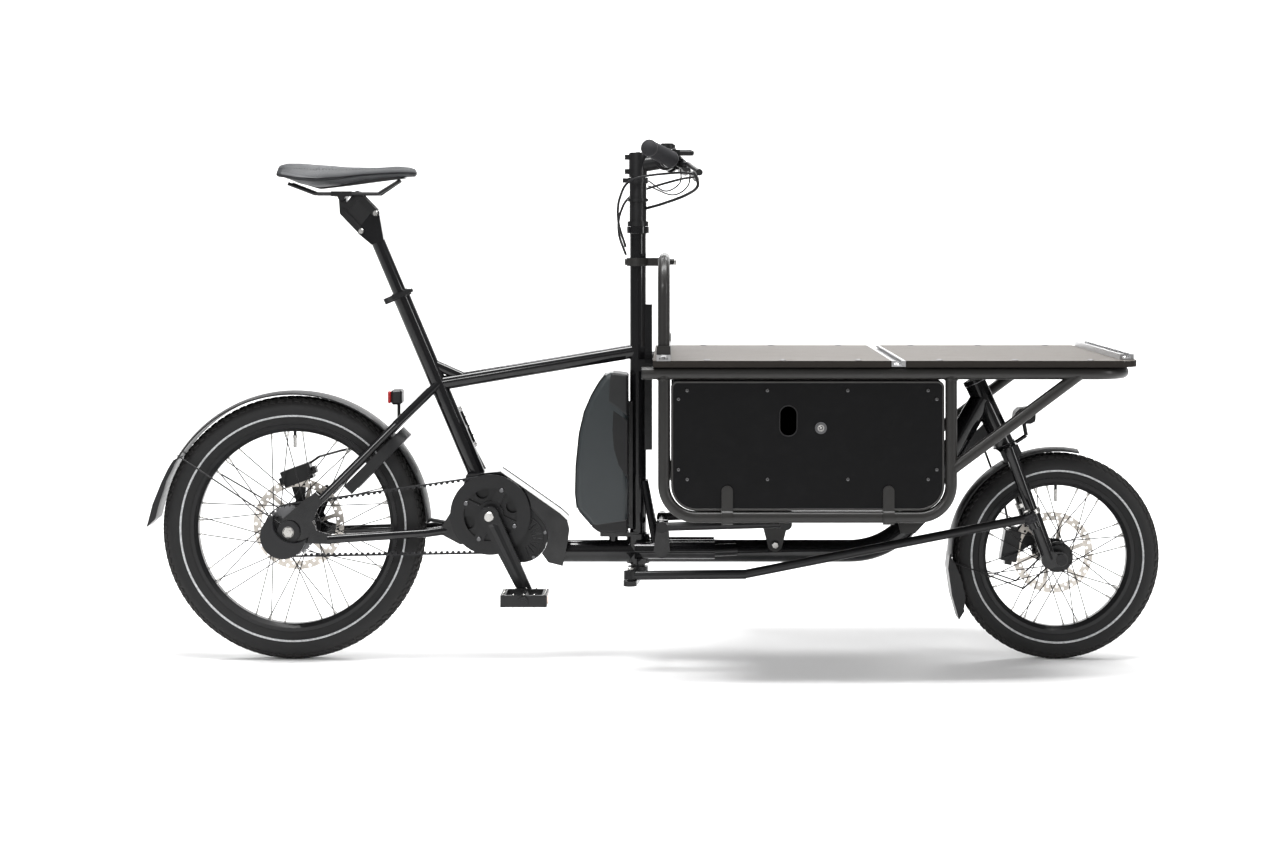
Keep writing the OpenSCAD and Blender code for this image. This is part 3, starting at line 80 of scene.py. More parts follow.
class Tree:
    def __init__(self, nodeTree):
        self.nodeTree = nodeTree

    def node(self, kind, settings=None, values=None):
        made = self.nodeTree.nodes.new(kind)
        for key, value in (settings or {}).items():
            if key == "stops":
                self.fillRamp(made.color_ramp, value)
            else:
                setattr(made, key, value)
        for key, value in (values or {}).items():
            if isinstance(value, Link):
                self.nodeTree.links.new(value.socket, made.inputs[key])
            else:
                made.inputs[key].default_value = value
        return Node(self, made)

    def fillRamp(self, ramp, stops):
        while len(ramp.elements) < len(stops):
            ramp.elements.new(0.5)
        for element, (place, shade) in zip(ramp.elements, stops):
            element.position = place
            element.color = (shade, shade, shade, 1) if isinstance(shade, (int, float)) else (*shade, 1)


class Paint(Tree):
    def __init__(self, name, **fixed):
        self.material = bpy.data.materials.new(name)
        self.material.use_nodes = True
        super().__init__(self.material.node_tree)
        self.shader = self.nodeTree.nodes["Principled BSDF"]
        for key, value in fixed.items():
            self.shader.inputs[key.replace("_", " ")].default_value = value
        self.place = self.node("ShaderNodeTexCoord").out("Object")

    def feed(self, key, link):
        self.nodeTree.links.new(link.socket, self.shader.inputs[key])

    def axes(self, place=None):
        split = self.node("ShaderNodeSeparateXYZ", None, {0: place or self.place})
        return split.out(0), split.out(1), split.out(2)

    def reachFrom(self, axle):  # distance from an axle that lies across the bicycle
        x, _, z = self.axes()
        return ((x - axle[0]) * (x - axle[0]) + (z - axle[2]) * (z - axle[2])).root()

    def noise(self, scale, detail=3, roughness=0.5, place=None, stretch=None):
        at = place or self.place
        if stretch:
            at = self.node("ShaderNodeMapping", None, {"Vector": at, "Scale": stretch}).out(0)
        return self.node("ShaderNodeTexNoise", None,
                         {"Vector": at, "Scale": scale, "Detail": detail, "Roughness": roughness}).out(0)

    def ramp(self, link, *stops):
        return self.node("ShaderNodeValToRGB", {"stops": stops}, {0: link}).out(0)

    def blendColours(self, amount, first, second):
        def colour(value):
            return value if isinstance(value, Link) else (*value, 1)
        return self.node("ShaderNodeMix", {"data_type": "RGBA"},
                         {0: amount, 6: colour(first), 7: colour(second)}).out(2)

    def bump(self, height, strength, distance):
        made = self.node("ShaderNodeBump", None,
                         {"Strength": strength, "Distance": distance, "Height": height})
        self.feed("Normal", made.out(0))


# Paint and anodising: a little dust lightens the colour and dulls the coat
def coated(name, colour, rough, coat, dust=0.06, grain=0.0, metal=0.0, spread=0.12, gloss=0.22):
    paint = Paint(name, Metallic=metal, Coat_Roughness=0.05, Specular_IOR_Level=gloss)
    cloud = paint.noise(9, 4)
    fine = paint.noise(140, 3)
    dusty = paint.ramp(paint.noise(26, 6, 0.65), (0.42, 0.0), (0.75, 1.0))
    lighter = tuple(min(1, c * 1.4 + 0.005) for c in colour)
    paint.feed("Base Color", paint.blendColours(dusty * dust + cloud * 0.12, colour, lighter))
    paint.feed("Roughness", rough + (cloud - 0.5) * spread + dusty * (dust * 1.2) + (fine - 0.5) * 0.04)
    paint.feed("Coat Weight", coat - dusty * (coat * 0.35))
    if grain:
        paint.bump(paint.noise(900, 2), grain, 0.0004)
    return paint.material


def grainPlastic(name, colour, rough, scale=700, depth=0.25, coat=0.0, gloss=0.25):
    paint = Paint(name, Specular_IOR_Level=gloss)
    pebble = paint.node("ShaderNodeTexVoronoi", {"feature": "SMOOTH_F1"},
                        {"Vector": paint.place, "Scale": scale}).out(0)
    cloud = paint.noise(14, 4)
    worn = paint.ramp(paint.noise(38, 5, 0.6), (0.5, 0.0), (0.8, 1.0))
    lighter = tuple(c * 1.5 + 0.004 for c in colour)
    paint.feed("Base Color", paint.blendColours(worn * 0.25 + cloud * 0.15, colour, lighter))
    paint.feed("Roughness", rough + (cloud - 0.5) * 0.12 + pebble * 0.1)
    if coat:
        paint.shader.inputs["Coat Weight"].default_value = coat
    paint.bump(pebble, depth, 0.0005)
    return paint.material


def brushed(name, colour, rough, stretch, metal=1.0):
    paint = Paint(name, Metallic=metal)
    streak = paint.noise(60, 4, 0.6, stretch=stretch)
    cloud = paint.noise(8, 3)
    darker = tuple(c * 0.72 for c in colour)
    paint.feed("Base Color", paint.blendColours(streak * 0.55 + cloud * 0.25, colour, darker))
    paint.feed("Roughness", rough + (streak - 0.5) * 0.22)
    paint.bump(streak, 0.12, 0.0003)
    return paint.material


def rubber(name, colour, rough, dust=0.2, scale=1200):
    paint = Paint(name, Specular_IOR_Level=0.25)
    dusty = paint.ramp(paint.noise(34, 6, 0.6), (0.4, 0.0), (0.8, 1.0))
    fine = paint.noise(scale, 2)
    lighter = tuple(c * 1.8 + 0.006 for c in colour)
    paint.feed("Base Color", paint.blendColours(dusty * dust, colour, lighter))
    paint.feed("Roughness", rough + dusty * 0.1 + (fine - 0.5) * 0.08)
    paint.bump(fine, 0.25, 0.0004)
    return paint.material


def deckFinish():
    paint = Paint("deckMeshBoard", Specular_IOR_Level=0.12)
    x, y, z = paint.axes()
    board = {"meshPitch": 0.0052, "meshLean": 0.6, "plyPitch": 0.0024}
    waveX = ((x + y * board["meshLean"]) * (fullTurn / board["meshPitch"])).sine()
    waveY = ((x - y * board["meshLean"]) * (fullTurn / board["meshPitch"])).sine()
    weave = (waveX * waveY) * 0.5 + 0.5
    cloud = paint.noise(7, 5, 0.6)
    scuff = paint.ramp(paint.noise(22, 6, 0.7, stretch=(1, 3, 1)), (0.52, 0.0), (0.78, 1.0))
    facing = paint.node("ShaderNodeNewGeometry").out("Normal")
    up = paint.ramp(paint.axes(facing)[2], (0.5, 0.0), (0.8, 1.0))
    top = paint.blendColours(weave * 0.6 + cloud * 0.25, (0.105, 0.094, 0.083), (0.038, 0.033, 0.029))
    top = paint.blendColours(scuff * 0.2, top, (0.16, 0.145, 0.13))
    layers = (z * (fullTurn / board["plyPitch"])).sine() * 0.5 + 0.5
    edge = paint.blendColours(layers, (0.010, 0.009, 0.008), (0.024, 0.020, 0.017))
    paint.feed("Base Color", paint.blendColours(up, edge, top))
    paint.feed("Roughness", 0.55 + scuff * 0.12 - weave * 0.1)
    paint.bump(weave, 0.35, 0.0006)
    return paint.material


def discFinish():
    paint = Paint("discSteel", Metallic=1.0)
    streak = paint.noise(90, 4, 0.6)
    tint = paint.noise(12, 3)
    paint.feed("Base Color", paint.blendColours(tint * 0.6, (0.62, 0.59, 0.55), (0.5, 0.44, 0.38)))
    paint.feed("Roughness", 0.3 + (streak - 0.5) * 0.2)
    paint.bump(streak, 0.08, 0.0002)
    return paint.material


def tyreFinish(name, axle, outer):
    paint = Paint(name, Specular_IOR_Level=0.22)
    sidewall = {"ribPitch": 0.0019, "treadDepth": 0.022}
    reach = paint.reachFrom(axle)
    dusty = paint.ramp(paint.noise(60, 6, 0.65), (0.38, 0.0), (0.75, 1.0))
    tread = paint.ramp((reach - (outer - sidewall["treadDepth"])) * 50, (0.0, 0.0), (1.0, 1.0))
    ribs = (reach * (fullTurn / sidewall["ribPitch"])).sine() * 0.5 + 0.5
    dull = paint.blendColours(dusty * 0.25, (0.010, 0.010, 0.0105), (0.026, 0.025, 0.024))
    paint.feed("Base Color", paint.blendColours(tread * (0.25 + dusty * 0.25), dull, (0.04, 0.038, 0.036)))
    paint.feed("Roughness", 0.55 + dusty * 0.18 + tread * 0.12)
    paint.bump(ribs * (1 - tread) + paint.noise(1500, 2) * 0.5, 0.22, 0.0004)
    return paint.material


def saddleFinish():
    paint = Paint("saddleSkin", Specular_IOR_Level=0.3)
    pebble = paint.node("ShaderNodeTexVoronoi", {"feature": "DISTANCE_TO_EDGE"},
                        {"Vector": paint.place, "Scale": 620}).out(0)
    creases = paint.noise(45, 5, 0.7)
    rubbed = paint.ramp(paint.noise(11, 4), (0.42, 0.0), (0.72, 1.0))
    worn = rubbed * 0.5 + creases * 0.2
    paint.feed("Base Color", paint.blendColours(worn, (0.028, 0.03, 0.032), (0.06, 0.062, 0.066)))
    paint.feed("Roughness", 0.5 - rubbed * 0.12 + (creases - 0.5) * 0.15)
    paint.bump(paint.ramp(pebble, (0.0, 0.0), (0.14, 1.0)) * 0.8 + creases * 0.5, 0.35, 0.0005)
    return paint.material


def glowing(name, colour, rough=0.12, coat=0.6):
    paint = Paint(name, Coat_Weight=coat, IOR=1.5)
    cells = paint.node("ShaderNodeTexVoronoi", {"feature": "F1"},
                       {"Vector": paint.place, "Scale": 260}).out(0)
    darker = tuple(c * 0.45 for c in colour)
    paint.feed("Base Color", paint.blendColours(cells, colour, darker))
    paint.feed("Roughness", rough + cells * 0.1)
    paint.bump(cells, 0.5, 0.001)
    return paint.material


def axleFinish(axle, nutReach):
    paint = Paint("shiftUnitShell", Specular_IOR_Level=0.35)
    shell = paint.reachFrom(axle) > nutReach  # steel nut inside, black shell outside
    streak = paint.noise(70, 4)
    paint.feed("Base Color", paint.blendColours(shell, (0.5, 0.49, 0.47), (0.007, 0.007, 0.008)))
    paint.feed("Metallic", 1 - shell)
    paint.feed("Roughness", 0.3 + (streak - 0.5) * 0.16 + shell * 0.06)
    return paint.material


axles = {"rear": Vector((-0.70575, 0, 0.258)), "front": Vector((0.78825, 0, 0.2025))}

print("finishes")
glossBlack = coated("glossBlackPaint", (0.0035, 0.0035, 0.004), 0.2, 0.55, dust=0.03, gloss=0.15)
satinGrey = coated("anthraciteCoat", (0.0125, 0.0118, 0.011), 0.38, 0.12, dust=0.05, grain=0.25, gloss=0.3)
blackAlloy = coated("blackAnodised", (0.007, 0.007, 0.0075), 0.32, 0.1, dust=0.05, grain=0.08, gloss=0.25)
doorBlack = grainPlastic("doorLaminate", (0.0035, 0.0035, 0.0038), 0.42, 900, 0.14, gloss=0.1)
boxBlack = grainPlastic("boxLiner", (0.009, 0.009, 0.0095), 0.5, 700, 0.3)
blackPlastic = grainPlastic("guardPlastic", (0.007, 0.007, 0.0075), 0.36, 1100, 0.12, 0.1)
batteryGloss = coated("batteryShellPaint", (0.022, 0.0265, 0.0285), 0.32, 0.25, dust=0.04, gloss=0.3)
batteryDark = grainPlastic("batteryPanel", (0.006, 0.006, 0.0065), 0.34, 900, 0.12, gloss=0.3)
batteryCap = grainPlastic("batteryCapGrey", (0.012, 0.0125, 0.013), 0.38, 900, 0.15, gloss=0.3)
deckBoard = deckFinish()
trackMetal = brushed("trackAluminium", (0.5, 0.5, 0.505), 0.36, (8, 0.4, 8))
steel = brushed("brightSteel", (0.6, 0.59, 0.57), 0.26, (1, 6, 1))
darkSteel = brushed("darkSteel", (0.16, 0.16, 0.165), 0.34, (1, 6, 1))
discMetal = discFinish()
beltRubber = rubber("beltRubber", (0.012, 0.012, 0.013), 0.6)
gripRubber = rubber("gripRubber", (0.016, 0.016, 0.018), 0.72, 0.15)
cableSkin = rubber("cableSkin", (0.01, 0.01, 0.011), 0.38, 0.08, 400)
saddleSkin = saddleFinish()
shiftUnit = axleFinish(axles["rear"], 0.0108)
redLens = glowing("redLens", (0.42, 0.01, 0.012))
amber = glowing("amberReflector", (0.75, 0.22, 0.02))
clearLens = glowing("lampLens", (0.62, 0.64, 0.66), 0.06, 1.0)
pipingGrey = grainPlastic("doorPiping", (0.022, 0.021, 0.02), 0.35, 800, 0.1, gloss=0.4)
stripeGrey = glowing("reflectiveStripe", (0.52, 0.53, 0.54), 0.35, 0.1)

finishOf = {
    glossBlack: ["rear_frame", "main_tube", "column_tube", "fork", "seatpost"],
    satinGrey: ["deck_rail", "side_frames", "hoop", "door_hardware_right", "door_hardware_left"],
    deckBoard: ["deck_boards"],
    trackMetal: ["lashing_tracks"],
    boxBlack: ["box_shell"],
    doorBlack: ["door_right", "door_left"],
    blackPlastic: ["rear_mudguard", "front_mudguard", "ring_lock", "bell", "bell_lever", "headlight",
                   "pedal_right", "pedal_left"],
    blackAlloy: ["motor_housing", "rear_brake", "front_brake", "seat_clamp", "seat_lever",
                 "kickstand", "steering_shaft", "stem", "handlebar", "bar_controls",
                 "brake_lever_right", "brake_lever_left", "tie_rod", "front_axle",
                 "front_rim", "front_hub", "rear_rim", "rear_hub", "crankset",
                 "link_front", "link_rear", "saddle_head"],
    beltRubber: ["drive_belt"],
    shiftUnit: ["rear_axle"],
    darkSteel: ["rear_sprocket", "cam_lock_right", "cam_lock_left"],
    discMetal: ["front_disc", "rear_disc"],
    batteryGloss: ["battery_case"],
    redLens: ["rear_light"],
    gripRubber: ["grips", "front_tyre", "rear_tyre"],
    cableSkin: ["bar_cables", "column_cables"],
    saddleSkin: ["saddle"],
}
for material, names in finishOf.items():
    for name in names:
        mesh = nodes[name].data
        mesh.materials.clear()
        mesh.materials.append(material)


def sideName(side):
    return "left" if side > 0 else "right"


# Every piece: its mesh and finish, the body it rides and the CAD nodes it stands for
def makeObject(name, mesh, material, body, smooth=True, replaced=()):
    mesh.name = name
    obj = bpy.data.objects.new(name, mesh)
    bpy.context.scene.collection.objects.link(obj)
    if material:
        mesh.materials.clear()
        mesh.materials.append(material)
    for face in mesh.polygons:
        face.use_smooth = smooth
    if body:
        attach(obj, body)
    if replaced:
        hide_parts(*replaced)
    return obj


def meshFrom(points, faces, edges=()):
    mesh = bpy.data.meshes.new("work")
    mesh.from_pydata([tuple(p) for p in points], list(edges), faces)
    if faces:
        work = bmesh.new()
        work.from_mesh(mesh)
        bmesh.ops.remove_doubles(work, verts=work.verts, dist=1e-6)
        bmesh.ops.recalc_face_normals(work, faces=work.faces)
        work.to_mesh(mesh)
        work.free()
    mesh.update()
    return mesh


def bevel(obj, width, segments=3, degrees=30):
    made = obj.modifiers.new("edge", "BEVEL")
    made.width = width
    made.segments = segments
    made.limit_method = "ANGLE"
    made.angle_limit = radians(degrees)
    made.harden_normals = False
    return made


def smoothPath(points, steps=8, closed=False):
    pts = [Vector(p) for p in points]
    count = len(pts)
    out = []
    for i in range(count if closed else count - 1):
        if closed:
            a, b, c, d = (pts[(i + k) % count] for k in (-1, 0, 1, 2))
        else:
            b, c = pts[i], pts[i + 1]
            a = pts[i - 1] if i else b * 2 - c
            d = pts[i + 2] if i + 2 < count else c * 2 - b
        for k in range(steps):
            t = k / steps
            out.append(0.5 * ((2 * b) + (c - a) * t + (2 * a - 5 * b + 4 * c - d) * t * t
                              + (3 * b - a - 3 * c + d) * t ** 3))
    if not closed:
        out.append(pts[-1])
    return out


def lathe(profile, centre, axis, steps=96):
    axis = Vector(axis).normalized()
    side = axis.orthogonal().normalized()
    other = axis.cross(side)
    points, faces = [], []
    count = len(profile)
    for i in range(steps):
        a = fullTurn * i / steps
        out = side * cos(a) + other * sin(a)
        points += [Vector(centre) + axis * along + out * r for r, along in profile]
    for i in range(steps):
        j = (i + 1) % steps
        for k in range(count - 1):
            faces.append((i * count + k, j * count + k, j * count + k + 1, i * count + k + 1))
    return meshFrom(points, faces)


def ringSection(section, centre, steps=180):
    points, faces = [], []
    count = len(section)
    for i in range(steps):
        a = fullTurn * i / steps
        points += [(centre[0] + r * cos(a), centre[1] + y, centre[2] + r * sin(a)) for r, y in section]
    for i in range(steps):
        j = (i + 1) % steps
        for k in range(count):
            m = (k + 1) % count
            faces.append((i * count + k, j * count + k, j * count + m, i * count + m))
    return meshFrom(points, faces)


def plate(outline, y0, y1):
    count = len(outline)
    points = [(x, y0, z) for x, z in outline] + [(x, y1, z) for x, z in outline]
    faces = [tuple(range(count)), tuple(range(2 * count - 1, count - 1, -1))]
    faces += [(i, (i + 1) % count, (i + 1) % count + count, i + count) for i in range(count)]
    return meshFrom(points, faces)


# Geometry Nodes trees, each ending in real, painted geometry
def geometryTree(name, sockets):
    group = bpy.data.node_groups.new(name, "GeometryNodeTree")
    group.interface.new_socket("Geometry", in_out="INPUT", socket_type="NodeSocketGeometry")
    for label, kind in sockets:
        group.interface.new_socket(label, in_out="INPUT", socket_type=kind)
    group.interface.new_socket("Geometry", in_out="OUTPUT", socket_type="NodeSocketGeometry")
    tree = Tree(group)
    return tree, tree.node("NodeGroupInput")


def endTree(tree, source, shape):
    real = tree.node("GeometryNodeRealizeInstances", None, {0: shape}).out(0)
    painted = tree.node("GeometryNodeSetMaterial", None, {0: real, "Material": source.out("Material")}).out(0)
    tree.node("NodeGroupOutput", None, {0: painted})
    return tree.nodeTree


def tubeTree():
    tree, source = geometryTree("tubeOnPath", [("Radius", "NodeSocketFloat"), ("Sides", "NodeSocketInt"),
                                               ("Material", "NodeSocketMaterial")])
    curve = tree.node("GeometryNodeMeshToCurve", None, {0: source.out("Geometry")}).out(0)
    ring = tree.node("GeometryNodeCurvePrimitiveCircle", None,
                     {"Radius": source.out("Radius"), "Resolution": source.out("Sides")}).out(0)
    tube = tree.node("GeometryNodeCurveToMesh", None, {0: curve, 1: ring, "Fill Caps": True}).out(0)
    smooth = tree.node("GeometryNodeSetShadeSmooth", None, {0: tube, "Shade Smooth": True}).out(0)
    return endTree(tree, source, smooth)


def ringTree():
    tree, source = geometryTree("ringOfItems", [("Count", "NodeSocketInt"), ("Phase", "NodeSocketFloat"),
                                                ("Centre", "NodeSocketVector"), ("Item", "NodeSocketObject"),
                                                ("Material", "NodeSocketMaterial")])
    line = tree.node("GeometryNodeMeshLine", None,
                     {"Count": source.out("Count"), "Start Location": source.out("Centre"),
                      "Offset": (0, 0, 0)}).out(0)
    index = tree.node("GeometryNodeInputIndex").out(0)
    turn = index / source.out("Count") * fullTurn + source.out("Phase")
    spin = tree.node("ShaderNodeCombineXYZ", None, {1: turn}).out(0)
    item = tree.node("GeometryNodeObjectInfo", None, {0: source.out("Item")}).out("Geometry")
    placed = tree.node("GeometryNodeInstanceOnPoints", None,
                       {"Points": line, "Instance": item, "Rotation": spin}).out(0)
    return endTree(tree, source, placed)


def spotsTree():
    tree, source = geometryTree("itemsOnSpots", [("Turn", "NodeSocketVector"), ("Item", "NodeSocketObject"),
                                                 ("Material", "NodeSocketMaterial")])
    item = tree.node("GeometryNodeObjectInfo", None, {0: source.out("Item")}).out("Geometry")
    placed = tree.node("GeometryNodeInstanceOnPoints", None,
                       {"Points": source.out("Geometry"), "Instance": item, "Rotation": source.out("Turn")}).out(0)
    return endTree(tree, source, placed)


tubeOnPath = tubeTree()
ringOfItems = ringTree()
itemsOnSpots = spotsTree()


def grow(name, base, group, values, material, body, replaced=(), smooth=None):
    obj = bpy.data.objects.new(name, base)
    bpy.context.scene.collection.objects.link(obj)
    made = obj.modifiers.new("grow", "NODES")
    made.node_group = group
    ids = {item.name: item.identifier for item in group.interface.items_tree if item.in_out == "INPUT"}
    for key, value in {**values, "Material": material}.items():
        made[ids[key]] = value
    obj.update_tag()
    bpy.context.view_layer.update()
    result = bpy.data.meshes.new_from_object(obj.evaluated_get(bpy.context.evaluated_depsgraph_get()))
    obj.modifiers.remove(made)
    obj.data = result
    result.name = name
    if smooth is not None:
        for face in result.polygons:
            face.use_smooth = smooth
    if body:
        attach(obj, body)
    if replaced:
        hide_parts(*replaced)
    return obj


def tubes(name, paths, radius, material, body, sides=12, closed=False, replaced=()):
    points, edges = [], []
    for path in paths:
        start = len(points)
        points += [tuple(p) for p in path]
        edges += [(start + i, start + i + 1) for i in range(len(path) - 1)]
        if closed:
            edges.append((len(points) - 1, start))
    return grow(name, meshFrom(points, [], edges), tubeOnPath, {"Radius": radius, "Sides": sides},
                material, body, replaced)


def itemObject(mesh):
    obj = bpy.data.objects.new("item", mesh)
    bpy.context.scene.collection.objects.link(obj)
    return obj


def ringItems(name, item, count, centre, material, body, phase=0.0, replaced=(), smooth=False):
    shape = itemObject(item)
    made = grow(name, meshFrom([(0, 0, 0)], []), ringOfItems,
                {"Count": count, "Phase": phase, "Centre": centre, "Item": shape}, material, body,
                replaced, smooth)
    bpy.data.objects.remove(shape)
    return made


def spotItems(name, item, spots, material, body, turn=(0, 0, 0), smooth=False):
    shape = itemObject(item)
    made = grow(name, meshFrom(spots, []), itemsOnSpots, {"Turn": turn, "Item": shape}, material, body,
                (), smooth)
    bpy.data.objects.remove(shape)
    return made


def block(centre, size, chamfer=0.0):
    work = bmesh.new()
    bmesh.ops.create_cube(work, size=1)
    for vert in work.verts:
        vert.co = Vector([vert.co[k] * size[k] + centre[k] for k in range(3)])
    if chamfer:
        bmesh.ops.bevel(work, geom=list(work.edges), offset=chamfer, segments=1, affect="EDGES")
    mesh = bpy.data.meshes.new("work")
    work.to_mesh(mesh)
    work.free()
    return mesh


def rod(a, b, r, sides=24, chamfer=0.0):
    a, b = Vector(a), Vector(b)
    length = (b - a).length
    c = min(chamfer, r * 0.5)
    profile = [(0.0, 0.0), (r - c, 0.0), (r, c), (r, length - c), (r - c, length), (0.0, length)] if c else \
        [(0.0, 0.0), (r, 0.0), (r, length), (0.0, length)]
    return lathe(profile, a, b - a, sides)


def joined(*meshes):
    work = bmesh.new()
    for mesh in meshes:
        work.from_mesh(mesh)
    mesh = bpy.data.meshes.new("work")
    work.to_mesh(mesh)
    work.free()
    return mesh


# The camera is level and its picture shifted, so that uprights stay upright
view = {"place": (0.0388, -4.506, 0.851), "lens": 64.5, "shift": (-0.0266, -0.1578)}
camera = bpy.data.cameras.new("camera")
camera.lens = view["lens"]
camera.sensor_width = 36
camera.shift_x, camera.shift_y = view["shift"]
cameraObject = bpy.data.objects.new("camera", camera)
cameraObject.location = view["place"]
cameraObject.rotation_euler = (radians(90), 0, 0)
bpy.context.scene.collection.objects.link(cameraObject)
bpy.context.scene.camera = cameraObject


wheels = {
    "rear": {"outer": 0.258, "width": 0.055, "bead": 0.203, "spokes": 36, "hub": 0.043, "flange": 0.027,
             "rim": 0.189, "cross": 46, "boltCircle": 0.022, "discFace": 0.0468},
    "front": {"outer": 0.2025, "width": 0.050, "bead": 0.1525, "spokes": 32, "hub": 0.026, "flange": 0.024,
              "rim": 0.1385, "cross": 52, "boltCircle": 0.019, "discFace": 0.0388},
}


def tyrePiece(which):
    axle, wheel = axles[which], wheels[which]
    outer, width, bead = wheel["outer"], wheel["width"], wheel["bead"]
    size = {"tread": 0.0022, "rows": (0.0, 0.36, 0.66), "blocks": round(outer * fullTurn / 0.0165)}
    half = width / 2
    centre = outer - half
    section = []
    for i in range(-30, 31):
        a = radians(i * 4.2)
        r = centre + (half - size["tread"]) * cos(a)
        y = (half - 0.0004) * sin(a)
        section.append((r, y))
    wall = [(bead + 0.006, width * 0.32), (bead + 0.001, width * 0.29), (bead - 0.004, width * 0.2)]
    section = [(r, -y) for r, y in reversed(wall)] + section + wall
    material = tyreFinish(which + "TyreRubber", axle, outer)
    body = which + "_wheel"
    makeObject(which + "_tyre_carcass", ringSection(section, axle, 200), material, body,
               replaced=[which + "_tyre"])
    blocks = []
    for row, side in [(0.0, 1)] + [(r, s) for r in size["rows"][1:] for s in (-1, 1)]:
        lean = row * 1.15 * side
        item = block((0, 0, 0), (size["tread"] + 0.0016, width * 0.13, 0.0115 if row else 0.0125), 0.0006)
        shift = Vector((centre + (half - size["tread"] / 2 - 0.0009) * cos(lean), half * 0.97 * sin(lean), 0.0))
        turn = Matrix.Rotation(lean, 4, "Z")
        item.transform(Matrix.Rotation(radians(14 * side), 4, "X"))
        item.transform(turn)
        item.transform(Matrix.Translation(shift))
        phase = (0.5 if row == size["rows"][1] else 0.0) * fullTurn / size["blocks"]
        blocks.append((item, phase))
    for k, (item, phase) in enumerate(blocks):
        ringItems(f"{which}_tread_{k}", item, size["blocks"], axle, material, body, phase)
    stripeAt = radians(112)
    for side in (-1, 1):
        y = side * (half - 0.0002) * sin(stripeAt)
        r = centre + (half - size["tread"]) * cos(stripeAt)
        ring = [(r - 0.0028, y * 0.985 + side * 0.0002), (r + 0.0028, y + side * 0.0003),
                (r + 0.0028, y - side * 0.001), (r - 0.0028, y * 0.985 - side * 0.001)]
        makeObject(f"{which}_stripe_{sideName(side)}", ringSection(ring, axle, 180), stripeGrey,
                   body)


print("tyres")
for which in wheels:
    tyrePiece(which)


# Nipples at the rim end of each spoke, along the CAD's own crossed spokes
def spokeNipples(which):
    axle, wheel = axles[which], wheels[which]
    count, hubR, rimR = wheel["spokes"], wheel["hub"], wheel["rim"]
    paths = []
    for i in range(count):
        side = 1 if i % 2 == 0 else -1
        lead = 1 if (i // 2) % 2 == 0 else -1
        hubA = i * fullTurn / count
        rimA = hubA + lead * radians(wheel["cross"])
        start = axle + Vector((hubR * cos(hubA), side * (wheel["flange"] + 0.0027 * lead), hubR * sin(hubA)))
        end = axle + Vector((rimR * cos(rimA), side * (0.004 + 0.0015 * lead), rimR * sin(rimA)))
        way = (end - start).normalized()
        paths.append([end - way * 0.011, end - way * 0.001])
    tubes(which + "_nipples", paths, 0.0021, steel, which + "_wheel", 8)


def valveAndBolts(which):
    axle, wheel, body = axles[which], wheels[which], which + "_wheel"
    tip = axle + Vector((0, 0, wheel["bead"] - 0.0465))
    stem = rod(tip, tip + Vector((0, 0, 0.022)), 0.0034, 20, 0.0006)
    collar = rod(tip + Vector((0, 0, 0.018)), tip + Vector((0, 0, 0.024)), 0.0042, 20, 0.0005)
    makeObject(which + "_valve", joined(stem, collar), steel, body, False)
    reach, face, head = wheel["boltCircle"], wheel["discFace"], 0.0024
    ringItems(which + "_disc_bolts", rod((reach, face, 0), (reach, face + head, 0), 0.0034, 16, 0.0006),
              6, axle, steel, body, 0.3)


for which in wheels:
    spokeNipples(which)
for which in wheels:
    valveAndBolts(which)


# Outlines run from nose to tail: x, then half width or height
saddleShape = {
    "halfWidth": [(-0.4665, 0.004), (-0.470, 0.0125), (-0.480, 0.0178), (-0.500, 0.0195), (-0.530, 0.0212),
                  (-0.560, 0.0246), (-0.590, 0.0305), (-0.620, 0.0425), (-0.650, 0.0565), (-0.680, 0.068),
                  (-0.705, 0.0745), (-0.722, 0.0738), (-0.731, 0.062), (-0.7365, 0.03)],
    "top": [(-0.4665, 0.955), (-0.470, 0.9612), (-0.480, 0.9645), (-0.500, 0.9662), (-0.560, 0.9655),
            (-0.600, 0.9655), (-0.650, 0.9685), (-0.690, 0.9713), (-0.715, 0.9712), (-0.731, 0.9675),
            (-0.7365, 0.960)],
    "bottom": [(-0.4665, 0.9495), (-0.470, 0.9455), (-0.500, 0.9432), (-0.534, 0.9408), (-0.569, 0.9372),
               (-0.596, 0.9318), (-0.622, 0.9272), (-0.657, 0.9245), (-0.688, 0.9305), (-0.715, 0.9405),
               (-0.731, 0.9475), (-0.7365, 0.954)],
    "stations": 84, "around": 64, "channelDepth": 0.0048, "channelWidth": 0.0095, "wingDrop": 0.013,
}


def along(table, x):
    for (x0, v0), (x1, v1) in zip(table, table[1:]):
        if x <= x0 and x >= x1:
            t = (x - x0) / (x1 - x0)
            return v0 + (v1 - v0) * (t * t * (3 - 2 * t) * 0.35 + t * 0.65)
    return table[0][1] if x > table[0][0] else table[-1][1]


def saddlePoint(x, angle):
    s = saddleShape
    half, top, bottom = along(s["halfWidth"], x), along(s["top"], x), along(s["bottom"], x)
    c, v = cos(angle), sin(angle)
    squareness = 0.62
    y = half * (abs(c) ** squareness) * (1 if c >= 0 else -1)
    share = (abs(v) ** 0.8) * (1 if v >= 0 else -1)
    middle = (top + bottom) / 2
    z = middle + (top - middle) * share if v >= 0 else middle + (middle - bottom) * share
    if v > 0:
        out = abs(y) / max(half, 1e-6)
        wide = min(1, half / 0.07)
        z -= s["wingDrop"] * wide * out ** 2.6
        fade = max(0, min(1, (-0.512 - x) / 0.03)) * max(0, min(1, (x + 0.713) / 0.03))
        z -= s["channelDepth"] * fade * 2.718 ** (-(y / s["channelWidth"]) ** 2)
        z += 0.0016 * wide * sin(pi * min(1, out)) ** 2
    return Vector((x, y, z))


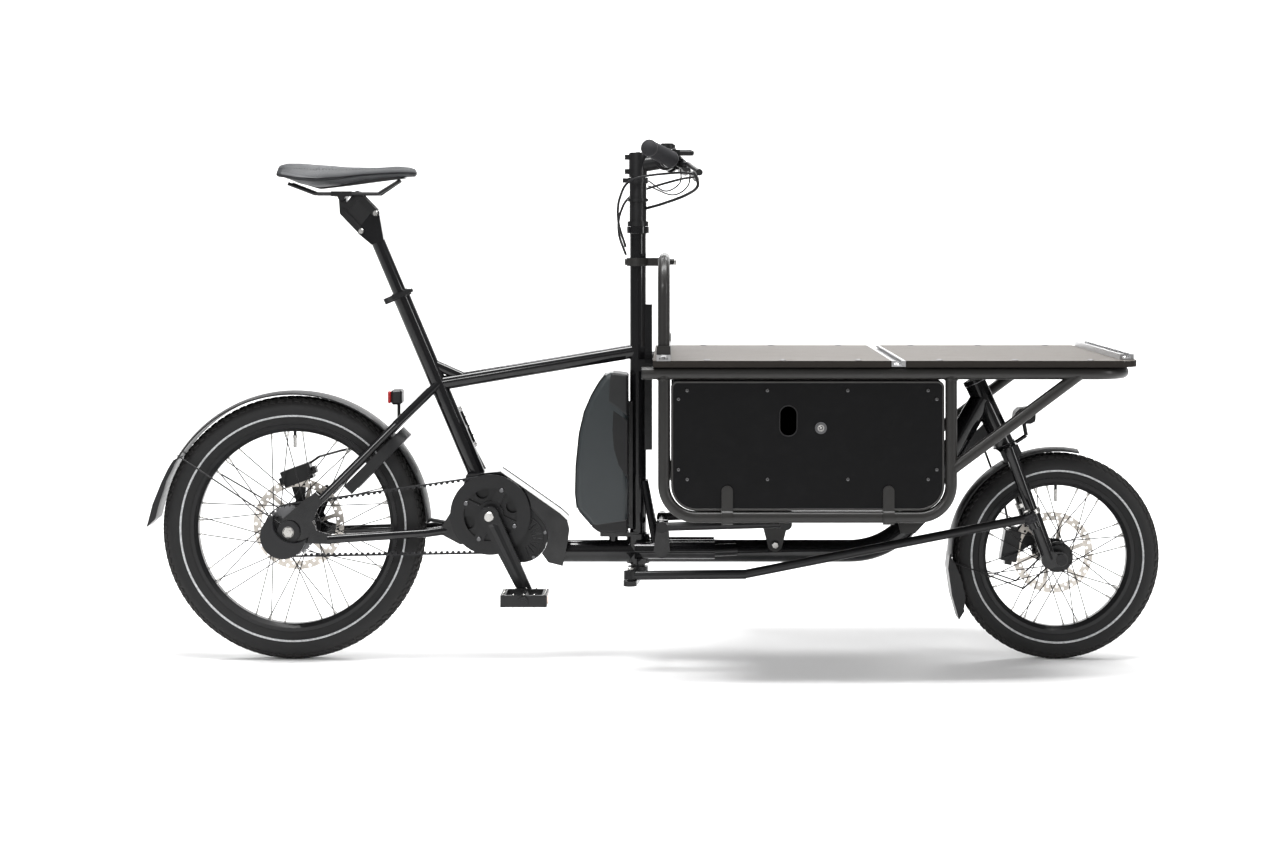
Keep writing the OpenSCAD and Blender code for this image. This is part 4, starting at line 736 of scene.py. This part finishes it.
def saddlePiece():
    s = saddleShape
    nose, length = -0.4665, 0.7365 - 0.4665
    xs = [nose - length * (0.5 - 0.5 * cos(pi * i / s["stations"])) for i in range(s["stations"] + 1)]
    points, faces = [], []
    count = s["around"]
    for x in xs:
        points += [saddlePoint(x, fullTurn * k / count) for k in range(count)]
    for i in range(len(xs) - 1):
        for k in range(count):
            m = (k + 1) % count
            faces.append((i * count + k, i * count + m, (i + 1) * count + m, (i + 1) * count + k))
    for ring in (0, len(xs) - 1):
        middle = sum((points[ring * count + k] for k in range(count)), Vector()) / count
        points.append(middle)
        faces += [(ring * count + k, ring * count + (k + 1) % count, len(points) - 1) for k in range(count)]
    skin = makeObject("saddle_cover", meshFrom(points, faces), saddleSkin, "saddle",
                      replaced=["saddle"])
    for side in (-1, 1):
        path = [saddlePoint(x, radians(10) if side > 0 else radians(170)) for x in xs[4:-4]]
        tubes("saddle_seam_" + sideName(side), [path], 0.0011, gripRubber, "saddle", 8)
        upper = [saddlePoint(x, radians(48) if side > 0 else radians(132)) + Vector((0, 0, 0.0002)) for x in xs[8:-6]]
        line = smoothPath(upper, 4)
        dashes = [line[i:i + 3] for i in range(0, len(line) - 3, 5)]
        tubes("saddle_stitch_" + sideName(side), dashes, 0.0005, pipingGrey, "saddle", 6)
    tray = plate([(-0.700, 0.9345), (-0.69, 0.9400), (-0.50, 0.9455), (-0.485, 0.9425), (-0.52, 0.9385),
                  (-0.60, 0.9280), (-0.655, 0.9215)], -0.016, 0.016)
    tray = makeObject("saddle_tray", tray, boxBlack, "saddle", False)
    bevel(tray, 0.002)


print("saddle")
saddlePiece()

postMarks = {"head": Vector((-0.55844, 0, 0.85603)), "axis": Vector((-0.390731, 0, 0.920505))}
ringItems("seatpost_marks", block((0.01372, 0, 0), (0.0004, 0.005, 0.0006)), 1,
          postMarks["head"] - postMarks["axis"] * 0.06, stripeGrey, "seatpost")

# Pivots of the suspension links: lower front, lower rear, upper front, upper rear
pivotSpots = [(-0.54584, 0, 0.87403), (-0.57394, 0, 0.83903), (-0.58124, 0, 0.91103), (-0.60934, 0, 0.87603)]
headBlock = {"share": 0.78, "half": 0.0128}
blockCentre = sum((Vector(spot) for spot in pivotSpots), Vector()) / 4
blockLine = [blockCentre + (Vector(pivotSpots[k]) - blockCentre) * headBlock["share"] for k in (0, 1, 3, 2)]
damper = plate([(spot.x, spot.z) for spot in blockLine], -headBlock["half"], headBlock["half"])
makeObject("seatpost_damper", damper, batteryDark, "link_front", False)
for side in (-1, 1):
    label = sideName(side)
    cap = rod((0, side * 0.0174, 0), (0, side * 0.0189, 0), 0.0052, 24, 0.0008)
    spotItems("link_bolts_front_" + label, cap, [pivotSpots[0]], steel, "link_front")
    spotItems("link_bolts_rear_" + label, cap.copy(), [pivotSpots[1]], steel, "link_rear")


# Battery outlines: how far behind the front foot, and how far above it
batteryShape = {"front": -0.0501, "low": 0.250, "half": 0.0448, "edge": 0.011, "proud": 0.0009}
batteryLines = {
    "shell": [(0, 0.0015), (-0.057, 0.003), (-0.0735, 0.0155), (-0.101, 0.047), (-0.1042, 0.079), (-0.103, 0.133),
              (-0.0967, 0.195), (-0.087, 0.237), (-0.0735, 0.268), (-0.0596, 0.2916), (-0.0464, 0.309),
              (-0.0348, 0.3135), (0, 0.309)],
    "cap": [(-0.0005, 0.2273), (-0.041, 0.2567), (-0.0385, 0.299), (-0.033, 0.3138), (-0.0005, 0.3095)],
    "inset": [(-0.0005, 0.106), (-0.0193, 0.133), (-0.0286, 0.164), (-0.0317, 0.2026), (-0.030, 0.2413),
              (-0.0005, 0.2205)],
    "foot": [(-0.0005, 0.001), (-0.058, 0.0026), (-0.0733, 0.0147), (-0.062, 0.0205), (-0.0077, 0.0286),
             (-0.0005, 0.030)],
    "spine": [(-0.101, 0.046), (-0.1046, 0.079), (-0.1034, 0.133), (-0.0971, 0.1952), (-0.0874, 0.2373),
              (-0.0739, 0.2683), (-0.060, 0.292), (-0.0468, 0.3094), (-0.0425, 0.3075), (-0.0562, 0.289),
              (-0.070, 0.266), (-0.0832, 0.236), (-0.0926, 0.195), (-0.099, 0.133), (-0.1002, 0.079)],
}


def batteryPart(name, line, material, half, edge, replaced=()):
    b = batteryShape
    outline = [(b["front"] + x, b["low"] + z) for x, z in batteryLines[line]]
    made = makeObject(name, plate(outline, -half, half), material, "frame", False, replaced)
    bevel(made, edge, 4)


def batteryPiece():
    b = batteryShape
    batteryPart("battery_shell", "shell", batteryGloss, b["half"], b["edge"], ["battery_case"])
    batteryPart("battery_cap", "cap", batteryCap, b["half"] + b["proud"], 0.005)
    batteryPart("battery_inset", "inset", batteryDark, b["half"] + b["proud"] * 0.6, 0.002)
    batteryPart("battery_foot", "foot", batteryDark, b["half"] + b["proud"], 0.005)
    batteryPart("battery_spine", "spine", batteryDark, b["half"] - 0.004, 0.0015)


print("battery")
batteryPiece()


# Doors: edge piping, slot rim, screws and lock
door = {"x0": 0.033, "x1": 0.53825, "z0": 0.323, "z1": 0.56312, "lowR": 0.047, "highR": 0.012, "y": 0.270,
        "lock": (0.310, 0.273, 0.476058), "slot": (0.250, 0.489), "slotR": 0.0162, "slotHalf": 0.012}


def doorOutline(inset, steps=8):
    d = door
    x0, x1, z0, z1 = d["x0"] + inset, d["x1"] - inset, d["z0"] + inset, d["z1"] - inset
    low, high = d["lowR"] - inset, d["highR"] - inset * 0.6
    corners = [(x0 + low, z0 + low, low, 180), (x1 - low, z0 + low, low, 270), (x1 - high, z1 - high, high, 0),
               (x0 + high, z1 - high, high, 90)]
    return [(cx + r * cos(radians(a + 90 * i / steps)), cz + r * sin(radians(a + 90 * i / steps)))
            for cx, cz, r, a in corners for i in range(steps + 1)]


def doorTrim(side):
    label = sideName(side)
    body = "door_" + label
    path = [Vector((x, side * (door["y"] - 0.0005), z)) for x, z in doorOutline(0.0022)]
    tubes("door_edge_" + label, [path], 0.0021, pipingGrey, body, 10, True)
    slotX, slotZ = door["slot"]
    slotPath = []
    for a in range(0, 360, 12):
        shift = door["slotHalf"] if a < 180 else -door["slotHalf"]
        slotPath.append(Vector((slotX + door["slotR"] * cos(radians(a)), side * door["y"],
                                slotZ + shift + door["slotR"] * sin(radians(a)))))
    tubes("door_slot_rim_" + label, [slotPath], 0.0011, boxBlack, body, 8, True)
    spots = [(0.063 + i * 0.14842, side * door["y"], z) for i in range(4) for z in (0.54512, 0.381)]
    spots += [(x, side * door["y"], z) for x in (0.047, 0.52425) for z in (0.52912, 0.399)]
    head = lathe([(0.0, 0.0014), (0.0012, 0.0014), (0.0014, 0.0020), (0.0024, 0.0018), (0.0032, 0.0012),
                  (0.0035, 0.0), (0.0, 0.0)], (0, 0, 0), (0, side, 0), 20)
    spotItems("door_screws_" + label, head, spots, darkSteel, body, smooth=False)
    lockX, lockY, lockZ = door["lock"]
    centre = Vector((lockX, side * lockY, lockZ))
    face = lathe([(0.0040, 0.0), (0.0040, 0.0006), (0.0062, 0.0006), (0.0062, 0.0), (0.0040, 0.0)],
                 centre, (0, side, 0), 40)
    core = rod(centre, centre + Vector((0, side * 0.0007, 0)), 0.0021, 24, 0.0002)
    makeObject("lock_ring_" + label, face, steel, "cam_lock_" + label, False)
    makeObject("lock_core_" + label, core, steel, "cam_lock_" + label, False)


print("doors")
doorTrim(-1)
doorTrim(1)


# The two hoses down to the column are baked in place on no body; the others ride the bar
def cablePieces():
    barX, barZ, columnX = 0.022, 0.978, -0.032
    entry = Vector((columnX + 0.017, 0, 0.884))
    for label, side in (("right", -1), ("left", 1)):
        line = [Vector((barX + 0.062, side * 0.096, barZ - 0.030)),
                Vector((barX + 0.020, side * 0.066, barZ - 0.032 - 0.006 * side)),
                Vector((columnX - 0.009, side * 0.044, barZ - 0.052 - 0.014 * side)),
                Vector((columnX - 0.035, side * 0.030, barZ - 0.088 - 0.014 * side)),
                Vector((columnX - 0.038, side * 0.022, barZ - 0.132 - 0.012 * side)),
                Vector((columnX - 0.024, side * 0.014, barZ - 0.178 - 0.008 * side))]
        hose = tubes("column_hose_" + label, [smoothPath(line, 10)], 0.0025, cableSkin, None, 14)
        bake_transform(hose)
        if side < 0:
            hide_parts("column_cables")
    runs = [
        ([(0.076, -0.148, 0.953), (0.084, -0.130, 0.926), (0.062, -0.082, 0.909), (0.018, -0.034, 0.893),
          tuple(entry)], 0.003),
        ([(0.070, -0.040, 0.964), (0.066, -0.030, 0.928), (0.036, -0.016, 0.910), (-0.012, -0.004, 0.928)], 0.0015),
        ([(0.052, 0.040, 0.964), (0.050, 0.030, 0.934), (0.022, 0.016, 0.918), (-0.012, 0.005, 0.938)], 0.0015),
    ]
    for k, (line, r) in enumerate(runs):
        tubes(f"bar_hose_{k}", [smoothPath(line, 12)], r, cableSkin, "steering", 12,
              replaced=["bar_cables"] if k == 0 else ())


print("cables")
cablePieces()


def gripPiece(side):
    start = Vector((0.0330, side * 0.2035, 0.97452))
    end = Vector((-0.007, side * 0.319, 0.992))
    axis = (end - start).normalized()
    length = (end - start).length
    grip = {"radius": 0.0146, "rib": 0.0010, "ribs": 22, "collar": 0.0158}
    profile = [(0.0114, 0.0), (grip["collar"], 0.0004), (grip["collar"], 0.007), (grip["radius"], 0.0085)]
    steps = grip["ribs"] * 6
    for i in range(steps + 1):
        t = i / steps
        place = 0.010 + t * (length - 0.018)
        swell = 0.0008 * sin(pi * t) ** 2
        ripple = grip["rib"] * (0.5 - 0.5 * cos(fullTurn * grip["ribs"] * t))
        profile.append((grip["radius"] + swell + ripple - 0.0006, place))
    profile += [(grip["collar"] - 0.0006, length - 0.006), (grip["collar"] - 0.0002, length + 0.001),
                (0.0140, length + 0.0045), (0.0, length + 0.0055)]
    mesh = lathe(profile, start, axis, 56)
    makeObject("grip_" + sideName(side), mesh, gripRubber, "steering", True,
               ["grips"] if side < 0 else ())


def controlPieces():
    screen = block((0.052, 0.0, 0.992), (0.052, 0.058, 0.010), 0.0025)
    body = makeObject("display_body", screen, blackPlastic, "steering", False)
    bevel(body, 0.0012, 2)
    makeObject("display_face", block((0.052, 0.0, 0.9975), (0.042, 0.048, 0.0012), 0.0004),
               batteryGloss, "steering", False)
    makeObject("display_bracket", joined(block((0.036, -0.020, 0.984), (0.020, 0.008, 0.014), 0.0015),
                                         block((0.036, 0.020, 0.984), (0.020, 0.008, 0.014), 0.0015)),
               blackPlastic, "steering", False)
    for side in (-1, 1):
        label = sideName(side)
        buttons = [(0.033 + dx, side * 0.134, 0.9955) for dx in (-0.006, 0.006)]
        button = lathe([(0.0, 0.0022), (0.0030, 0.0020), (0.0038, 0.0008), (0.0038, -0.002), (0.0, -0.002)],
                       (0, 0, 0), (0, 0, 1), 20)
        spotItems("remote_buttons_" + label, button, buttons, pipingGrey, "steering",
                  smooth=True)
        bolt = rod((0.0555, side * 0.172, 0.9775), (0.0555, side * 0.172, 0.9795), 0.0034, 16, 0.0006)
        makeObject("lever_bolt_" + label, bolt, steel, "steering", False)


print("handlebar")
gripPiece(-1)
gripPiece(1)
controlPieces()
ringItems("bell_ribs", block((0.0152, 0, 0), (0.0012, 0.0016, 0.0075), 0.0003), 1,
          (0.02577, -0.10389, 1.0011), steel, "steering")
makeObject("stem_cap", joined(rod((-0.032, 0, 0.9915), (-0.032, 0, 0.9935), 0.0165, 40, 0.0008),
                              rod((-0.032, 0, 0.9933), (-0.032, 0, 0.9948), 0.0042, 24, 0.0005)), blackAlloy,
           "steering", False)


crankAxis = Vector((-0.31775, 0, 0.289))
crank = {"length": 0.165, "angle": -64, "face": 0.0888, "pedalY": 0.091 + 0.046, "pedalLean": 67,
         "pinHeight": 0.0108}
motor = {"lobe": crankAxis + Vector((0.060, 0, -0.045)), "ribs": 9, "ribStep": 16, "ribFrom": -70,
         "ribInner": 0.020, "ribOuter": 0.039, "ribY": 0.0432, "screwY": 0.0405}


def crankNut():
    hexagon = rod(crankAxis + Vector((0, -0.0922, 0)), crankAxis + Vector((0, -0.0935, 0)), 0.0048, 6)
    cap = rod(crankAxis + Vector((0, -0.0895, 0)), crankAxis + Vector((0, -0.0925, 0)), 0.0092, 32, 0.001)
    makeObject("crank_nut", joined(cap, hexagon), steel, "crank", False)


def armRidge(side, way):  # a raised line down the outer face of a crank arm
    across = Vector((-way.z, 0, way.x))
    stations = ((0.014, 0.010, 0.0), (0.022, 0.009, 0.0022), (0.150, 0.006, 0.0018), (0.158, 0.005, 0.0))
    points = []
    for t, w, h in stations:
        points += [crankAxis + way * t + across * (w * k)
                   + Vector((0, side * crank["face"] + side * (h if k == 0 else 0), 0)) for k in (-1, 0, 1)]
    faces = [(3 * i + k, 3 * i + k + 1, 3 * i + k + 4, 3 * i + k + 3) for i in range(3) for k in (0, 1)]
    makeObject("crank_ridge_" + sideName(side), meshFrom(points, faces), blackAlloy, "crank",
               False)


def pedalFittings(side, way):  # grip pins and reflectors, turned with the pedal
    label = sideName(side)
    centre = crankAxis + way * crank["length"]
    spots = [(dx, dy) for dx in (-0.039, 0.039) for dy in (-0.034, -0.017, 0.0, 0.017, 0.034)]
    spots += [(dx, dy) for dx in (-0.02, 0.0, 0.02) for dy in (-0.038, 0.038)]
    pins = [(centre.x + dx, side * (crank["pedalY"] + dy), centre.z + crank["pinHeight"]) for dx, dy in spots]
    pin = joined(rod((0, 0, 0), (0, 0, 0.0024), 0.0017, 8, 0.0004),
                 rod((0, 0, -0.0216), (0, 0, -0.024), 0.0017, 8, 0.0004))
    lean = Matrix.Rotation(radians(crank["pedalLean"] if side > 0 else 0), 4, "Y")
    turned = Matrix.Translation(centre) @ lean @ Matrix.Translation(-centre)
    made = spotItems("pedal_pins_" + label, pin, pins, steel, "pedal_" + label)
    made.data.transform(turned)
    for k, dx in enumerate((-0.0448, 0.0448)):
        lens = block((centre.x + dx * 0.985, side * crank["pedalY"], centre.z), (0.0014, 0.052, 0.013), 0.0003)
        lens.transform(turned)
        makeObject(f"pedal_reflector_{label}_{k}", lens, amber, "pedal_" + label, False)


def aroundY(centre, reach, degrees, y):
    return centre + Vector((cos(radians(degrees)) * reach, y, sin(radians(degrees)) * reach))


def motorDetails():
    lobe = motor["lobe"]
    ribs = []
    for side in (-1, 1):
        for i in range(motor["ribs"]):
            turn = motor["ribFrom"] + i * motor["ribStep"]
            ribs.append([aroundY(lobe, motor[end], turn, side * motor["ribY"]) for end in ("ribInner", "ribOuter")])
    tubes("motor_ribs", ribs, 0.0012, blackAlloy, "frame", 8)
    spots = [aroundY(lobe, 0.046, a, side * motor["screwY"]) for a in (-60, 10, 80) for side in (-1, 1)]
    spots += [aroundY(crankAxis, 0.059, a, side * motor["screwY"]) for a in (60, 120, 180, 240)
              for side in (-1, 1)]
    screw = rod((0, -0.0012, 0), (0, 0.0012, 0), 0.0034, 16, 0.0004)
    spotItems("motor_screws", screw, spots, darkSteel, "frame")
    # A lighter, glossier strip along the top edge of the motor cradle on each side: a painted highlight standing in
    # for the bevel's reflection
    edge = [(-0.3008, 0.3709), (-0.2718, 0.3509), (-0.1838, 0.2889), (-0.169, 0.275)]
    for side in (-1, 1):
        line = [Vector((x, side * 0.0418, z)) for x, z in edge]
        tubes("cradle_edge_" + sideName(side), [line], 0.0013, pipingGrey, "frame", 8)


def drivePieces():
    bolts = rod((0.052, -0.0592, 0), (0.052, -0.0612, 0), 0.0042, 20, 0.0006)
    ringItems("ring_bolts", bolts, 4, crankAxis, darkSteel, "crank", -radians(65))
    crankNut()
    turn = radians(crank["angle"])
    for side in (-1, 1):
        way = Vector((cos(turn), 0, sin(turn))) * (1 if side < 0 else -1)
        armRidge(side, way)
        pedalFittings(side, way)
    motorDetails()


print("drive")
drivePieces()


lampAt = {"front": Vector((0.69062 + 0.040, 0, 0.41186 + 0.026)), "rear": Vector((-0.50175, 0, 0.468)),
          "finPitch": 0.0035, "finY": 0.0203}


def lampPieces():
    front, rear = lampAt["front"], lampAt["rear"]
    ring = lathe([(0.0, 0.0162), (0.0118, 0.0160), (0.0126, 0.0150), (0.0126, 0.0120), (0.0, 0.0120)],
                 front + Vector((0, 0, 0.040)), (1, 0, 0), 48)
    makeObject("headlight_lens", ring, clearLens, "fork", False)
    fins = [[front + Vector((x, side * lampAt["finY"], 0.032 + lampAt["finPitch"] * i)) for x in (-0.020, 0.004)]
            for i in range(5) for side in (-1, 1)]
    tubes("headlight_fins", fins, 0.0008, blackPlastic, "fork", 6)
    box = block((rear.x - 0.0025, 0, rear.z + 0.046), (0.0215, 0.0435, 0.0295), 0.004)
    stalk = rod((rear.x, 0, rear.z), (rear.x, 0, rear.z + 0.034), 0.0034, 20)
    makeObject("rear_light_body", joined(box, stalk), blackPlastic, "frame", False,
               ["rear_light"])
    lens = block((rear.x - 0.0166, 0, rear.z + 0.046), (0.0064, 0.0395, 0.0255), 0.0025)
    bevel(makeObject("rear_light_lens", lens, redLens, "frame", False), 0.0008, 2)


print("lamps")
lampPieces()


steeringMarks = {
    "legLow": Vector((0.76625, -0.060, 0.203)), "legTop": Vector((0.69232, -0.060, 0.40823)),
    "ringAt": 0.428, "ringLong": 0.047, "headAxis": Vector((-0.422618, 0, 0.906308)),
    "rodFront": Vector((0.71525, -0.145, 0.294)), "rodRear": Vector((-0.045, -0.140, 0.184)),
    "armAxis": Vector((0.01355, 0.0781, 1)).normalized(), "headRings": (0.2405, 0.3745),
}


def frontPieces():
    m = steeringMarks
    leg, axis = m["legTop"] - m["legLow"], m["headAxis"]
    for side in (-1, 1):
        a = m["legLow"] + leg * m["ringAt"]
        b = a + leg * m["ringLong"]
        a, b = (Vector((p.x, -side * p.y, p.z)) for p in (a, b))
        makeObject("fork_ring_" + sideName(side), rod(a, b, 0.0164, 48, 0.0012), steel, "fork",
                   False)
    boot = lathe([(0.0086, -0.0105), (0.0128, -0.0095), (0.0136, -0.0065), (0.0118, -0.0045), (0.0136, -0.002),
                  (0.0136, 0.002), (0.0118, 0.0045), (0.0136, 0.0065), (0.0128, 0.0080), (0.0086, 0.0085)],
                 m["rodFront"], axis, 40)
    makeObject("rod_boot_front", boot, gripRubber, "tie_rod", True)
    frontNut = rod(m["rodFront"] + axis * 0.0132, m["rodFront"] + axis * 0.0170, 0.0068, 6, 0.0005)
    makeObject("rod_nut_front", frontNut, steel, "fork", False)
    rearNut = rod(m["rodRear"] + m["armAxis"] * 0.0102, m["rodRear"] + m["armAxis"] * 0.0150, 0.0066, 6, 0.0005)
    makeObject("rod_nut_rear", rearNut, steel, "steering", False)
    for place in m["headRings"]:
        ring = lathe([(0.0152, -0.0012), (0.0222, -0.0012), (0.0226, 0.0), (0.0222, 0.0012), (0.0152, 0.0012)],
                     axles["front"] + axis * place, axis, 64)
        makeObject(f"head_ring_{round(place * 1000)}", ring, darkSteel, "frame", True)


def weldBead(centre, reach, steps, wobble, pace):  # a slightly uneven ring round an upright tube
    return [Vector(centre) + Vector((reach * cos(a * fullTurn / steps), reach * sin(a * fullTurn / steps),
                                     wobble * sin(a * pace))) for a in range(steps + 1)]


def cargoPieces():
    deckTop = 0.60062
    for k, (x, half) in enumerate(((0.0195, 0.276), (0.453, 0.277), (0.88125, 0.238))):
        top = deckTop + (0.011 if k != 1 else 0.0)
        bolts = [(x, side * half * f, top - 0.0078) for side in (-1, 1) for f in (0.92, 0.3)]
        head = lathe([(0.0, 0.0022), (0.0032, 0.0020), (0.0042, 0.0008), (0.0042, 0.0), (0.0, 0.0)],
                     (0, 0, 0), (0, 0, 1), 20)
        spotItems(f"track_bolts_{k}", head, bolts, steel, "frame", smooth=False)
    spots = [(x, side * 0.262, 0.60075) for x in (0.10, 0.24, 0.38, 0.53, 0.67, 0.81) for side in (-1, 1)]
    head = lathe([(0.0, 0.0016), (0.0050, 0.0015), (0.0064, 0.0006), (0.0068, 0.0), (0.0, 0.0)],
                 (0, 0, 0), (0, 0, 1), 24)
    spotItems("deck_bolts", head, spots, darkSteel, "frame", smooth=True)
    for side in (-1, 1):
        label = sideName(side)
        cap = rod((-0.0215, side * 0.265, 0.57686), (-0.0190, side * 0.265, 0.57686), 0.0119, 40, 0.0008)
        makeObject("rail_cap_" + label, cap, blackPlastic, "frame", False)
        bolt = rod((0.236, side * 0.036, 0.227), (0.236, side * 0.0395, 0.227), 0.0064, 6, 0.0006)
        makeObject("bracket_bolt_" + label, bolt, steel, "frame", False)
    knob = joined(rod((0.0385, 0, 0.77862), (0.0425, 0, 0.77862), 0.0072, 32, 0.001),
                  rod((0.042, 0, 0.77862), (0.0435, 0, 0.77862), 0.0034, 6))
    makeObject("hoop_knob", knob, steel, "frame", False)
    seams = [weldBead((x, side * 0.265, 0.5652 - 0.0002), 0.0114, 24, 0.0008, 2.1)
             for x in (0.020, 0.55125) for side in (-1, 1)]
    tubes("loop_welds", seams, 0.0014, satinGrey, "frame", 8)
    rings = [weldBead((-0.032, 0, z), 0.0160, 32, 0.0006, 2.3) for z in (0.2462, 0.8350)]
    tubes("column_welds", rings, 0.0013, glossBlack, "frame", 8)


print("front and cargo details")
frontPieces()
cargoPieces()


print("floor and light")
floorSize = {"half": 9.0, "flat": 3.0, "curve": 1.5}


def floorPiece():
    half, flat, bend = floorSize["half"], floorSize["flat"], floorSize["curve"]
    points = [(-half, -half, 0), (half, -half, 0)]
    curve = [(flat, 0.0)]
    curve += [(flat + bend * sin(radians(a)), bend - bend * cos(radians(a))) for a in range(10, 91, 10)]
    curve.append((flat + bend, half))
    points += [p for y, z in curve for p in ((-half, y, z), (half, y, z))]
    faces = [(2 * i, 2 * i + 1, 2 * i + 3, 2 * i + 2) for i in range(len(curve))]
    mesh = meshFrom(points, faces)
    for face in mesh.polygons:
        face.use_smooth = True
    paint = Paint("floorPaint", Roughness=0.85)
    paint.shader.inputs["Base Color"].default_value = (0.86, 0.86, 0.86, 1)
    mesh.materials.append(paint.material)
    obj = bpy.data.objects.new("floor", mesh)
    bpy.context.scene.collection.objects.link(obj)


floorPiece()
lamps = {
    "overhead": ((0.2, -0.4, 3.4), (0.1, 0.2, 0.4), 3.4, 0.9, 230),
    "front": ((-2.0, -4.2, 2.6), (0, 0, 0.3), 2.2, 0.7, 90),
    "side": ((3.6, -2.4, 1.6), (0.3, 0, 0.45), 0.6, 2.0, 40),
    "back": ((0.4, 2.2, 3.0), (0, 3.2, 0.6), 3.0, 0.8, 150),
}
for name, (place, target, width, height, power) in lamps.items():
    lamp = bpy.data.lights.new(name, "AREA")
    lamp.shape = "RECTANGLE"
    lamp.size, lamp.size_y, lamp.energy = width, height, power
    lampObject = bpy.data.objects.new(name, lamp)
    lampObject.location = place
    lampObject.rotation_euler = (Vector(target) - Vector(place)).to_track_quat("-Z", "Y").to_euler()
    bpy.context.scene.collection.objects.link(lampObject)
world = bpy.data.worlds.new("world")
world.use_nodes = True
world.node_tree.nodes["Background"].inputs[0].default_value = (1, 1, 1, 1)
world.node_tree.nodes["Background"].inputs[1].default_value = 0.3
bpy.context.scene.world = world
bpy.context.scene.view_settings.view_transform = "Standard"
